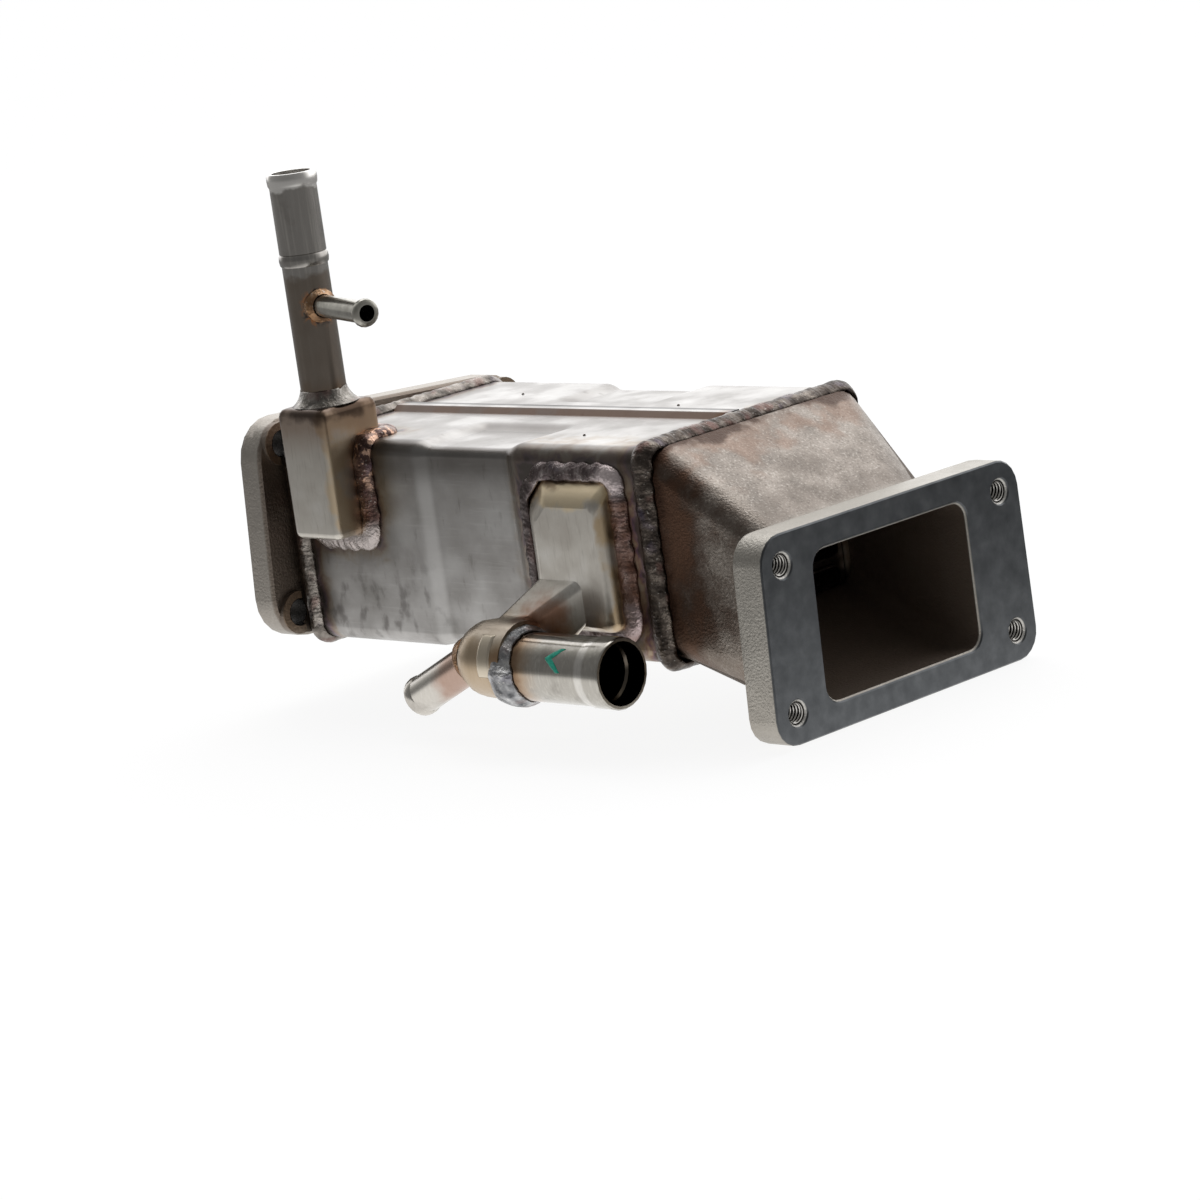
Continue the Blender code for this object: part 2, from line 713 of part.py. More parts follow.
def outlet_opening_outline(growth):
    """The mouth in the outlet flange."""
    outline = rounded_rectangle(
        OUTLET_OPENING_WIDTH + 2 * growth,
        OUTLET_OPENING_HEIGHT + 2 * growth,
        OUTLET_OPENING_RADIUS + growth,
        centre=(OUTLET_OPENING_SHIFT, 0.0),
    )
    return [outlet_flange_point(*point) for point in outline]


def duct_end_outline(growth):
    """The duct's section where it runs into the back of the outlet flange, each corner with its own radius."""
    top = OUTLET_FLANGE_HEIGHT / 2 - DUCT_TOP_STEP + growth
    foot = -OUTLET_FLANGE_HEIGHT / 2 + DUCT_FOOT_STEP - growth
    front = -DUCT_FRONT - growth
    rear = DUCT_REAR + growth
    corners = (
        (rear, top, -1, -1, DUCT_REAR_TOP_RADIUS + growth, 0),
        (front, top, 1, -1, DUCT_FRONT_TOP_RADIUS + growth, 90),
        (front, foot, 1, 1, DUCT_FOOT_RADIUS + growth, 180),
        (rear, foot, -1, 1, DUCT_FOOT_RADIUS + growth, 270),
    )
    points = []
    for y, z, side, level, radius, start in corners:
        points += arc((y + side * radius, z + level * radius), radius, start, start + 90, CORNER_STEPS)
    return [(y, z - OUTLET_FLANGE_DROP) for y, z in points]


def make_outlet_casting():
    """Duct and flange of the gas outlet, one casting with a machined face and tapped holes."""
    edge = 0.0012
    machined_edge = 0.0005
    root = 0.0015
    bevel = OUTLET_OPENING_BEVEL
    rim = casting_rim()
    end = duct_end_outline(0.0)
    inner_start = spigot_bore()
    inner_end = outlet_opening_outline(0.0)
    straight = COLLAR_RUNOUT + FIT
    rings = [
        at_x(spigot_outline(), OUTLET_CASTING_X - SPIGOT_DEPTH),
        at_x(spigot_outline(), OUTLET_CASTING_X),
        at_x(rim, OUTLET_CASTING_X),
        at_x(rim, OUTLET_CASTING_X + straight),
    ]
    length = FLANGE_BACK_X - root - OUTLET_CASTING_X - straight
    for share in (0.25, 0.5, 0.75, 1.0):
        rings.append(at_x(blend(rim, end, share), OUTLET_CASTING_X + straight + length * share))
    rings += [
        at_x(duct_end_outline(DUCT_TOP_STEP / 2), FLANGE_BACK_X),
        at_x(outlet_flange_outline(edge / 8), FLANGE_BACK_X + edge / 8),
        at_x(outlet_flange_outline(0.0), FLANGE_BACK_X + edge),
        at_x(outlet_flange_outline(0.0), FLANGE_FACE_X - machined_edge),
        at_x(outlet_flange_outline(machined_edge), FLANGE_FACE_X),
        at_x(outlet_opening_outline(bevel), FLANGE_FACE_X),
        at_x(outlet_opening_outline(0.0), FLANGE_FACE_X - bevel),
        at_x(outlet_opening_outline(0.0), FLANGE_BACK_X),
    ]
    for share in (0.72, 0.4):
        inner = blend(inner_start, inner_end, share)
        rings.append(at_x(inner, OUTLET_CASTING_X + length * share))
    rings += [
        at_x(inner_start, OUTLET_CASTING_X),
        at_x(inner_start, OUTLET_CASTING_X - SPIGOT_DEPTH),
    ]
    casting = piece("outlet_casting", loft(rings, returns=True), CASTING)
    inward = Vector((-1.0, 0.0, 0.0))
    for name, place in bolt_places(OUTLET_BOLT_SPREAD, OUTLET_BOLT_RISE):
        y, z = outlet_flange_point(*place)
        mouth = Vector((FLANGE_FACE_X, y, z))
        sink = (OUTLET_COUNTERSINK - OUTLET_THREAD_CORE) / 2
        hole = turned_cutter(OUTLET_THREAD_CORE / 2, OUTLET_THREAD_DEPTH, sink, mouth, inward)
        combine(casting, cutter("outlet_hole_" + name, hole), "DIFFERENCE")


def turned_cutter(radius, depth, sink, mouth, inward):
    """A tapped hole's core with its countersink, proud of the mouth."""
    proud = 0.0010
    shape = bmesh.new()
    frame = axis_frame(inward)
    profile = [
        (radius + sink + proud, -proud),
        (radius, sink),
        (radius, depth),
    ]
    rings = []
    for reach, along in profile:
        circle = arc((0.0, 0.0), reach, 0, 360 - 360 / FINE_ROUND_STEPS, FINE_ROUND_STEPS - 1)
        rings.append([frame @ Vector((a, b, along)) + mouth for a, b in circle])
    shape.free()
    return loft(rings)


def collar_weld(name, jacket_end, side, runout):
    """A weld ring round the joint, on the jacket's end and run out on the casting."""
    start = jacket_end - side * COLLAR_OVERLAP
    end = jacket_end + side * (FIT + runout)
    joint = jacket_end + side * FIT / 2
    rings = [at_x(jacket_outline(FIT), start)]
    for step in range(1, 6):
        angle = math.pi * step / 6
        share = (1 - math.cos(angle)) / 2
        height = FIT + COLLAR_HEIGHT * math.sin(angle)
        outline = blend(jacket_outline(height), casting_rim(height), share)
        rings.append(at_x(outline, start + (end - start) * share))
    rings += [
        at_x(casting_rim(FIT), end),
        at_x(blend(jacket_outline(FIT), casting_rim(FIT), 0.5), joint + side * FIT),
        at_x(jacket_outline(FIT), joint - side * FIT / 2),
    ]
    piece(name, loft(rings, returns=True), WELD)


def make_inlet_box():
    """The rounded coolant inlet box, open where it sits over the jacket's edge."""
    depth = INBOX_FRONT - INBOX_BACK
    middle = (INBOX_CENTRE_X, INBOX_CENTRE_Y)

    def plan(inset, extra=0.0):
        return rounded_rectangle(
            INBOX_WIDTH - 2 * (inset + extra), depth - 2 * (inset + extra), INBOX_RADIUS - inset / 2, centre=middle
        )

    def stack(wall):
        low = INBOX_FOOT + wall
        high = INBOX_TOP - wall
        radius = INBOX_RADIUS
        rings = []
        for angle in (0, 30, 60, 90):
            turn = math.radians(angle)
            inset = radius * (1 - math.sin(turn)) * 0.9
            rings.append(at_z(plan(inset, wall), low + radius * (1 - math.cos(turn))))
        for angle in (90, 60, 30, 0):
            turn = math.radians(angle)
            inset = radius * (1 - math.sin(turn)) * 0.9
            rings.append(at_z(plan(inset, wall), high - radius * (1 - math.cos(turn))))
        return loft(rings)

    box = piece("coolant_inlet_box", stack(0.0), STEEL)
    combine(box, cutter("inlet_box_inside", stack(INBOX_WALL)), "DIFFERENCE")
    body = rounded_rectangle(SHELL_WIDTH + 2 * FIT, SHELL_HEIGHT + 2 * FIT, SHELL_RADIUS + FIT)
    span = INBOX_WIDTH
    core = loft([at_x(body, INBOX_CENTRE_X - span), at_x(body, INBOX_CENTRE_X + span)])
    combine(box, cutter("inlet_box_seat", core), "DIFFERENCE")
    up = Vector((0.0, 0.0, 1.0))
    start = Vector((*middle, INBOX_TOP - 3 * INBOX_WALL))
    hole = rod(INPIPE_DIAMETER + 2 * FIT, start, up, 6 * INBOX_WALL)
    combine(box, cutter("inlet_box_hole", hole), "DIFFERENCE")


def fillet_bead(path, spread):
    """A closed weld bead in the corner between a seat and a wall.

    Each station of the path gives a point in the corner, the seat's normal, the wall's normal and the way
    the bead climbs the wall, which leans where the wall does.
    """
    rings = []
    for point, seat, wall, climb in path:
        corner = point + (seat + wall) * FIT
        rings.append(
            [
                corner,
                corner + wall * spread,
                corner + wall * spread * 0.8 + climb * 0.5,
                corner + wall * spread * 0.45 + climb * 0.9,
                corner + climb,
            ]
        )
    return loft(rings, returns=True)


def make_inlet_box_weld():
    """The bead that runs down both sides of the inlet box, under it and over the jacket's edge behind it."""
    side = INBOX_WIDTH / 2
    corner = INBOX_RADIUS
    front = Vector((0.0, -1.0, 0.0))
    up = Vector((0.0, 0.0, 1.0))
    right = Vector((1.0, 0.0, 0.0))
    back = Vector((0.0, 1.0, 0.0))
    surface = HALF_WIDTH + FIT
    roof = HALF_HEIGHT + FIT
    half_path = []
    half_path.append((Vector((0.0, -surface, INBOX_FOOT)), front, -up))
    for angle in (0, 30, 60, 90):
        turn = math.radians(angle)
        out = right * math.sin(turn) - up * math.cos(turn)
        place = Vector((side - corner, -surface, INBOX_FOOT + corner)) + out * corner
        half_path.append((place, front, out))
    edge_radius = SHELL_RADIUS + FIT
    for angle in (0, 30, 60, 90):
        turn = math.radians(angle)
        normal = front * math.cos(turn) + up * math.sin(turn)
        middle = Vector((side, -surface + edge_radius, roof - edge_radius))
        half_path.append((middle + normal * edge_radius, normal, right))
    for angle in (0, 30, 60, 90):
        turn = math.radians(angle)
        out = right * math.cos(turn) + back * math.sin(turn)
        place = Vector((side - corner, -INBOX_BACK - corner, roof)) + out * corner
        half_path.append((place, up, out))
    mirrored = []
    for place, seat, wall in reversed(half_path[1:]):
        flip = Matrix.Diagonal((-1.0, 1.0, 1.0))
        mirrored.append((flip @ place, flip @ seat, flip @ wall))
    shift = Vector((INBOX_CENTRE_X, 0.0, 0.0))
    path = []
    for place, seat, wall in half_path + mirrored:
        path.append((place + shift, seat, wall, seat * INBOX_WELD_CLIMB))
    piece("inlet_box_weld", fillet_bead(path, INBOX_WELD_SPREAD), WELD)


def ring_bulge(base, crest, start, length, steps=4):
    """Profile points of a rolled bead on a pipe."""
    points = []
    for step in range(steps + 1):
        angle = math.pi * step / steps
        along = start + length / 2 * (1 - math.cos(angle))
        points.append((base + (crest - base) * math.sin(angle), along))
    return points


def make_inlet_pipe():
    """Upright hose pipe with a stop bead and an end bead, and the weld at its foot."""
    foot = INBOX_TOP - INPIPE_ENTRY
    base = INPIPE_DIAMETER / 2
    sleeve = INPIPE_SLEEVE_DIAMETER / 2
    stop = INPIPE_STOP_BEAD_RISE
    bead_start = INPIPE_TOP - INPIPE_BEAD_LENGTH
    outside = [(base, foot), (base, stop - INPIPE_STOP_BEAD_LENGTH / 2 - 0.0002)]
    outside += ring_bulge(base, INPIPE_STOP_BEAD / 2, stop - INPIPE_STOP_BEAD_LENGTH / 2, INPIPE_STOP_BEAD_LENGTH)
    outside += [(sleeve, stop + INPIPE_STOP_BEAD_LENGTH / 2 + 0.0002), (sleeve, bead_start - 0.0002)]
    outside += ring_bulge(sleeve, INPIPE_BEAD_DIAMETER / 2, bead_start, INPIPE_BEAD_LENGTH)
    bore = INPIPE_BORE / 2
    profile = outside + [(bore, INPIPE_TOP), (bore, foot)]
    centre = Vector((INBOX_CENTRE_X, INBOX_CENTRE_Y, 0.0))
    up = Vector((0.0, 0.0, 1.0))
    pipe = piece("coolant_inlet_pipe", turned(profile, centre, up), PIPE_STEEL)
    start, direction = nipple_axis()
    tap = rod(NIPPLE_BORE, start, direction, INPIPE_DIAMETER, FINE_ROUND_STEPS)
    combine(pipe, cutter("nipple_tap", tap), "DIFFERENCE")
    inner = base + FIT
    low = INBOX_TOP + FIT
    skirt = INPIPE_WELD_FOOT / 2
    weld = [
        (inner, low),
        (skirt, low),
        (skirt - 0.0003, low + INPIPE_WELD_CROWN),
        (inner + (skirt - inner) * 0.45, low + INPIPE_WELD_HEIGHT * 0.5),
        (inner + INPIPE_WELD_CROWN * 0.6, low + INPIPE_WELD_HEIGHT),
        (inner, low + INPIPE_WELD_HEIGHT),
    ]
    piece("inlet_pipe_weld", turned(weld, centre, up), WELD)


def nipple_axis():
    """The start of the nipple's axis on the pipe's centre line, and its direction."""
    turn = math.radians(NIPPLE_TURN)
    drop = math.radians(NIPPLE_DROP)
    level = math.cos(drop)
    direction = Vector((level * math.cos(turn), level * math.sin(turn), -math.sin(drop)))
    return Vector((INBOX_CENTRE_X, INBOX_CENTRE_Y, NIPPLE_RISE)), direction


def make_nipple():
    """The small vent nipple and its braze, both saddled on the upright pipe."""
    start, direction = nipple_axis()
    outer = NIPPLE_DIAMETER / 2
    bore = NIPPLE_BORE / 2
    bead_start = NIPPLE_REACH - NIPPLE_BEAD_LENGTH
    begin = INPIPE_BORE / 4
    profile = [(outer, begin), (outer, bead_start - 0.0002)]
    profile += ring_bulge(outer, NIPPLE_BEAD_DIAMETER / 2, bead_start, NIPPLE_BEAD_LENGTH)
    profile += [(bore, NIPPLE_REACH), (bore, begin)]
    nipple = piece("vent_nipple", turned(profile, start, direction, FINE_ROUND_STEPS), PIPE_STEEL)
    up = Vector((0.0, 0.0, 1.0))
    low = start - up * NIPPLE_DIAMETER * 1.5
    saddle = cutter("pipe_saddle", rod(INPIPE_DIAMETER + 2 * FIT, low, up, NIPPLE_DIAMETER * 3, 2 * ROUND_STEPS))
    combine(nipple, saddle, "DIFFERENCE")
    inner = outer + FIT
    leg = NIPPLE_BRAZE_LEG
    surface = INPIPE_DIAMETER / 2
    braze = [
        (inner, begin),
        (inner + leg, begin),
        (inner + leg, surface + FIT),
        (inner + leg * 0.4, surface + leg * 0.6),
        (inner, surface + leg * 1.3),
    ]
    ring = piece("nipple_braze", turned(braze, start, direction, FINE_ROUND_STEPS), WELD)
    combine(ring, saddle, "DIFFERENCE")


def outbox_corners(share):
    """The coolant outlet box's outline at a share of its height, as (x, z) corners."""
    left = OUTBOX_LEFT + OUTBOX_DRAFT_LEFT * share
    right = OUTBOX_RIGHT - OUTBOX_DRAFT_RIGHT * share
    top = OUTBOX_TOP - OUTBOX_DRAFT_TOP * share
    cut = OUTBOX_CORNER_CUT
    return [
        (right, OUTBOX_FOOT),
        (right, top),
        (left + cut, top),
        (left, top - cut),
        (left, OUTBOX_FOOT),
    ]


def outbox_stack(wall):
    """Rings of the outlet box from the jacket out to its rounded pad."""
    seat = HALF_WIDTH + FIT
    rings = []
    height = OUTBOX_HEIGHT - wall
    radius = OUTBOX_RADIUS
    levels = [(0.0, 0.0), ((height - radius) / OUTBOX_HEIGHT, 0.0)]
    for angle in (30, 60, 90):
        turn = math.radians(angle)
        share = (height - radius * (1 - math.sin(turn))) / OUTBOX_HEIGHT
        levels.append((share, radius * (1 - math.cos(turn)) * 0.75))
    for share, inset in levels:
        corners = shrunk(outbox_corners(share), inset + wall)
        rings.append(at_y(rounded_polygon(corners, OUTBOX_RADIUS), -seat - share * OUTBOX_HEIGHT))
    if wall:
        rings.insert(0, [point + Vector((0.0, 2 * wall, 0.0)) for point in rings[0]])
    return loft(rings)


def shrunk(corners, inset):
    """Moves every side of a convex anticlockwise polygon inwards."""
    moved = []
    for index, corner in enumerate(corners):
        here = Vector(corner)
        before = (here - Vector(corners[index - 1])).normalized()
        after = (Vector(corners[(index + 1) % len(corners)]) - here).normalized()
        in_before = Vector((-before.y, before.x))
        in_after = Vector((-after.y, after.x))
        bisector = (in_before + in_after).normalized()
        moved.append(tuple(here + bisector * inset / bisector.dot(in_before)))
    return moved


def throat_outline(left, right, top, depth, inset):
    """The duct's section between the box and the round head."""
    width = right - left - 2 * inset
    centre = ((left + right) / 2, top - depth / 2)
    return rounded_rectangle(width, depth - 2 * inset, THROAT_RADIUS, centre=centre)


def throat(wall):
    """The slanting duct from the box's foot down to the round head, ending inside the head."""
    seat = HALF_WIDTH + FIT + wall
    root = throat_outline(
        THROAT_ROOT_LEFT,
        THROAT_ROOT_RIGHT,
        THROAT_TOP + THROAT_DROP,
        THROAT_ROOT_DEPTH,
        wall,
    )
    right = HEAD_END - THROAT_END_GAP
    knee = throat_outline(THROAT_LEFT, right, THROAT_TOP, THROAT_DEPTH, wall)
    reach = HEAD_DIAMETER / 2 - THROAT_SINK
    end = throat_outline(HEAD_START, right, HEAD_RISE + reach, 2 * reach, wall)
    rings = [
        at_y(root, -seat),
        at_y(root, -seat - OUTBOX_HEIGHT + wall),
        at_y(knee, -HALF_WIDTH - THROAT_STANDOFF),
        at_y(end, HEAD_Y),
    ]
    return loft(rings)


def head_shape(wall):
    """The round head: a cylinder along X with a domed far end."""
    radius = HEAD_DIAMETER / 2 - wall
    end = HEAD_END - wall
    rings = []
    for angle in (8, 22, 38, 54, 72, 90):
        turn = math.radians(angle)
        rings.append((radius * math.sin(turn), HEAD_START - radius * math.cos(turn)))
    rings.append((radius, end))
    circles = []
    for reach, x in rings:
        circle = arc((HEAD_Y, HEAD_RISE), reach, 0, 360 - 360 / ROUND_STEPS, ROUND_STEPS - 1)
        circles.append(at_x(circle, x))
    return loft(circles)


def make_outlet_box():
    """Pressed box, slanting duct and round head in one hollow piece."""
    box = piece("coolant_outlet_box", outbox_stack(0.0), STEEL)
    combine(box, cutter("throat_outside", throat(0.0)), "UNION")
    combine(box, cutter("head_outside", head_shape(0.0)), "UNION")
    combine(box, cutter("box_inside", outbox_stack(OUTBOX_WALL)), "DIFFERENCE")
    combine(box, cutter("throat_inside", throat(OUTBOX_WALL)), "DIFFERENCE")
    combine(box, cutter("head_inside", head_shape(HEAD_WALL)), "DIFFERENCE")
    along = Vector((1.0, 0.0, 0.0))
    start = Vector((HEAD_END - OUTPIPE_ENTRY, HEAD_Y, OUTPIPE_Z))
    seat = rod(OUTPIPE_DIAMETER + 2 * FIT, start, along, 3 * OUTPIPE_ENTRY)
    combine(box, cutter("outlet_pipe_seat", seat), "DIFFERENCE")
    begin, direction = bypass_axis()
    hole = rod(BYPASS_DIAMETER + 2 * FIT, begin, direction, HEAD_DIAMETER)
    combine(box, cutter("bypass_seat", hole), "DIFFERENCE")


def make_outlet_box_weld():
    """The bead round the foot of the outlet box, leaning against its drafted walls."""
    outline = rounded_polygon(outbox_corners(0.0), OUTBOX_RADIUS)
    raised = rounded_polygon(outbox_corners(OUTBOX_WELD_CLIMB / OUTBOX_HEIGHT), OUTBOX_RADIUS)
    count = len(outline)
    front = Vector((0.0, -1.0, 0.0))
    path = []
    for index, (x, z) in enumerate(outline):
        before = Vector(outline[index - 1])
        after = Vector(outline[(index + 1) % count])
        run = (after - before).normalized()
        out = Vector((run.y, 0.0, -run.x))
        lean = Vector((raised[index][0] - x, 0.0, raised[index][1] - z))
        climb = lean + front * OUTBOX_WELD_CLIMB
        path.append((Vector((x, -HALF_WIDTH - FIT, z)), front, out, climb))
    piece("outlet_box_weld", fillet_bead(path, OUTBOX_WELD_SPREAD), WELD)


def make_outlet_pipe():
    """Large hose pipe along X with a rolled end, and the weld ring at its root."""
    root = HEAD_END - OUTPIPE_ENTRY + FIT
    radius = OUTPIPE_DIAMETER / 2
    crest = OUTPIPE_BEAD_DIAMETER / 2
    bore = OUTPIPE_BORE / 2
    wide = OUTPIPE_COUNTERBORE / 2
    bead = OUTPIPE_END - OUTPIPE_BEAD_LENGTH
    profile = [
        (radius, root),
        (radius, bead),
        (crest, bead + 0.0010),
        (crest, OUTPIPE_END - 0.0006),
        (crest - 0.0004, OUTPIPE_END),
        (wide, OUTPIPE_END),
        (wide, OUTPIPE_END - OUTPIPE_COUNTERBORE_DEPTH),
        (bore, OUTPIPE_END - OUTPIPE_COUNTERBORE_DEPTH - 0.0008),
        (bore, root),
    ]
    centre = Vector((0.0, HEAD_Y, OUTPIPE_Z))
    along = Vector((1.0, 0.0, 0.0))
    piece("coolant_outlet_pipe", turned(profile, centre, along), PIPE_STEEL)
    inner = radius + FIT
    start = HEAD_END + FIT
    weld = [(inner, start)]
    for step in range(1, 6):
        angle = math.pi * step / 6
        weld.append(
            (
                inner + OUTPIPE_WELD_HEIGHT * math.sin(angle),
                start + OUTPIPE_WELD_WIDTH / 2 * (1 - math.cos(angle)),
            )
        )
    weld.append((inner, start + OUTPIPE_WELD_WIDTH))
    ring = piece("outlet_pipe_weld", turned(weld, centre, along), WELD)
    combine(ring, cutter("throat_relief", throat(-FIT)), "DIFFERENCE")


def bypass_axis():
    """The start of the bypass pipe's axis inside the round head, and its direction."""
    slope = math.radians(BYPASS_SLOPE)
    direction = Vector((-math.cos(slope), 0.0, -math.sin(slope)))
    start = Vector((HEAD_START, HEAD_Y, HEAD_RISE + BYPASS_START_RISE))
    return start, direction


def make_bypass_pipe():
    """Small pipe from the domed end of the round head, and its braze ring."""
    start, direction = bypass_axis()
    radius = BYPASS_DIAMETER / 2
    bore = BYPASS_BORE / 2
    dome = HEAD_DIAMETER / 2
    root = dome - BYPASS_ENTRY
    bead = BYPASS_LENGTH - BYPASS_BEAD_LENGTH
    profile = [(radius, root), (radius, bead - 0.0002)]
    profile += ring_bulge(radius, BYPASS_BEAD_DIAMETER / 2, bead, BYPASS_BEAD_LENGTH)
    profile += [(bore, BYPASS_LENGTH), (bore, root)]
    piece("bypass_pipe", turned(profile, start, direction), PIPE_STEEL)
    inner = radius + FIT
    leg = BYPASS_BRAZE_LEG
    braze = [
        (inner, root),
        (inner + leg, root),
        (inner + leg, dome),
        (inner + leg * 0.4, dome + leg * 0.7),
        (inner, dome + leg * 1.4),
    ]
    ring = piece("bypass_braze", turned(braze, start, direction), WELD)
    combine(ring, cutter("head_saddle", head_shape(-FIT)), "DIFFERENCE")


def edge_shading():
    """A node group that marks edges over the limit angle as sharp."""
    group = bpy.data.node_groups.new("shade_by_angle", "GeometryNodeTree")
    group.interface.new_socket("Geometry", in_out="INPUT", socket_type="NodeSocketGeometry")
    group.interface.new_socket("Geometry", in_out="OUTPUT", socket_type="NodeSocketGeometry")
    start = group.nodes.new("NodeGroupInput")
    end = group.nodes.new("NodeGroupOutput")
    angle = group.nodes.new("GeometryNodeInputMeshEdgeAngle")
    shallow = group.nodes.new("FunctionNodeCompare")
    shallow.operation = "LESS_THAN"
    shallow.inputs[1].default_value = math.radians(SHADE_ANGLE)
    faces = group.nodes.new("GeometryNodeSetShadeSmooth")
    edges = group.nodes.new("GeometryNodeSetShadeSmooth")
    edges.domain = "EDGE"
    group.links.new(angle.outputs["Unsigned Angle"], shallow.inputs[0])
    group.links.new(start.outputs[0], faces.inputs["Geometry"])
    group.links.new(faces.outputs["Geometry"], edges.inputs["Geometry"])
    group.links.new(shallow.outputs["Result"], edges.inputs["Shade Smooth"])
    group.links.new(edges.outputs["Geometry"], end.inputs[0])
    return group


def shade_pieces():
    """Shades every piece after its Booleans: flat faces flat, rounds round, edges sharp."""
    group = edge_shading()
    for made in bpy.context.scene.objects:
        if made.type == "MESH" and not made.hide_render:
            made.modifiers.new("shade_by_angle", "NODES").node_group = group
            weighted = made.modifiers.new("weighted_normals", "WEIGHTED_NORMAL")
            weighted.keep_sharp = True


def settle_frame():
    """Moves the cooler so that the origin is the middle of the base of its bounding box."""
    bpy.context.view_layer.update()
    graph = bpy.context.evaluated_depsgraph_get()
    corners = []
    for made in bpy.context.scene.objects:
        if made.type == "MESH" and not made.hide_render:
            mesh = made.evaluated_get(graph).to_mesh()
            corners += [made.matrix_world @ vertex.co for vertex in mesh.vertices]
            made.evaluated_get(graph).to_mesh_clear()
    low = Vector([min(corner[axis] for corner in corners) for axis in range(3)])
    high = Vector([max(corner[axis] for corner in corners) for axis in range(3)])
    frame = bpy.data.objects.new("cooler_frame", None)
    bpy.context.scene.collection.objects.link(frame)
    for made in list(bpy.context.scene.objects):
        if made is not frame:
            made.parent = frame
    frame.location = (-(low.x + high.x) / 2, -(low.y + high.y) / 2, -low.z)


clear_scene()
make_jacket()
make_core()
make_inlet_casting()
make_outlet_casting()
collar_weld("inlet_collar_weld", -INLET_REACH, -1, INLET_COLLAR_RUNOUT)
collar_weld("outlet_collar_weld", OUTLET_REACH, 1, COLLAR_RUNOUT)
make_inlet_box()
make_inlet_box_weld()
make_inlet_pipe()
make_nipple()
make_outlet_box()
make_outlet_box_weld()
make_outlet_pipe()
make_bypass_pipe()
shade_pieces()
settle_frame()
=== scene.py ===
"""Looks of the exhaust gas cooler: finishes, weld beads, threads, spatter, light and camera."""

import math

import bpy
import numpy as np
from mathutils import Matrix, Vector


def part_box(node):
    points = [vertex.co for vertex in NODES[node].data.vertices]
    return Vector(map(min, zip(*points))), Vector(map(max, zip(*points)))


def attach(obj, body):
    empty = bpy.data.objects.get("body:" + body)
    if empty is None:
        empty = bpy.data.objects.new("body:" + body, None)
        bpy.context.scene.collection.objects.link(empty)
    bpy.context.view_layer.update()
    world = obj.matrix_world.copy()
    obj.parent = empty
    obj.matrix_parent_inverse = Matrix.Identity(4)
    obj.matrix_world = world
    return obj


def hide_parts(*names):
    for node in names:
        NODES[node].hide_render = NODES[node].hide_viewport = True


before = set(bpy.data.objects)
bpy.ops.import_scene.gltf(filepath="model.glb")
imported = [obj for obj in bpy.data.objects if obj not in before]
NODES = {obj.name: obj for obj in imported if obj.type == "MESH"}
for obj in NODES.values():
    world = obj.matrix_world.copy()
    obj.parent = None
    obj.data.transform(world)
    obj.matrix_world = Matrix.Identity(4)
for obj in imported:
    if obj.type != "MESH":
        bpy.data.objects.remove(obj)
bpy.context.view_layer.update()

# --- Studio ------------------------------------------------------------------------------------------------
# A white paper floor under a large overhead softbox, with white card behind and a darker room on the camera's
# side, which is what gives the steel its light tops and grey fronts.

# The cooler's own axes in the row frame: X along the gas path from the middle of the waist, Y and Z from the
# middle of the jacket. Every place below is given on them, in metres.
INLET_REACH = 0.0836
JACKET_HALF_WIDTH = 0.0480
JACKET_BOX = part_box("rear_shell")
COOLER = Vector(
    (
        JACKET_BOX[0].x + INLET_REACH,
        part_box("front_shell")[0].y + JACKET_HALF_WIDTH,
        (JACKET_BOX[0].z + JACKET_BOX[1].z) / 2,
    )
)

CAMERA_AZIMUTH = 45.935
CAMERA_ELEVATION = 11.728
CAMERA_ROLL = -8.034
CAMERA_DISTANCE = 1.39235
CAMERA_SIDE = -0.000414
CAMERA_RISE = -0.013982
CAMERA_AIM = Vector((0.0050, 0.0, -0.0138))
CAMERA_LENS = 129.01


def camera_axes():
    """Right, up and back of the camera: a view direction from azimuth and elevation, then a roll about it."""
    azimuth, elevation, roll = map(math.radians, (CAMERA_AZIMUTH, CAMERA_ELEVATION, CAMERA_ROLL))
    level = math.cos(elevation)
    back = Vector((math.sin(azimuth) * level, -math.cos(azimuth) * level, math.sin(elevation)))
    side = (-back).cross(Vector((0.0, 0.0, 1.0))).normalized()
    rise = side.cross(-back)
    right = side * math.cos(roll) + rise * math.sin(roll)
    up = rise * math.cos(roll) - side * math.sin(roll)
    return right, up, back


right, up, back = camera_axes()
camera = bpy.data.objects.new("camera", bpy.data.cameras.new("camera"))
bpy.context.scene.collection.objects.link(camera)
camera.data.lens = CAMERA_LENS
camera.data.sensor_width = 36.0
camera.data.clip_start = 0.05
camera.data.clip_end = 50.0
stand = COOLER + CAMERA_AIM + back * CAMERA_DISTANCE + right * CAMERA_SIDE + up * CAMERA_RISE
camera.matrix_world = Matrix.Translation(stand) @ Matrix((right, up, back)).transposed().to_4x4()
bpy.context.scene.camera = camera
bpy.context.scene.view_settings.view_transform = "Standard"


def linear(hexadecimal):
    """An sRGB hex colour as a linear one."""
    found = []
    for start in (0, 2, 4):
        share = int(hexadecimal[start : start + 2], 16) / 255
        found.append(share / 12.92 if share <= 0.04045 else ((share + 0.055) / 1.055) ** 2.4)
    return (*found, 1.0)


def add(tree, kind, inputs=None, stops=None, **settings):
    """Adds one node with its settings, its input values or links, and the stops of its ramp."""
    made = tree.nodes.new(kind)
    for name, value in settings.items():
        setattr(made, name, value)
    for key, value in (inputs or {}).items():
        if isinstance(value, bpy.types.NodeSocket):
            tree.links.new(value, made.inputs[key])
        else:
            made.inputs[key].default_value = value
    for index, (level, colour) in enumerate(stops or []):
        ramp = made.color_ramp.elements
        stop = ramp[index] if index < 2 else ramp.new(level)
        stop.position = level
        stop.color = colour
    return made


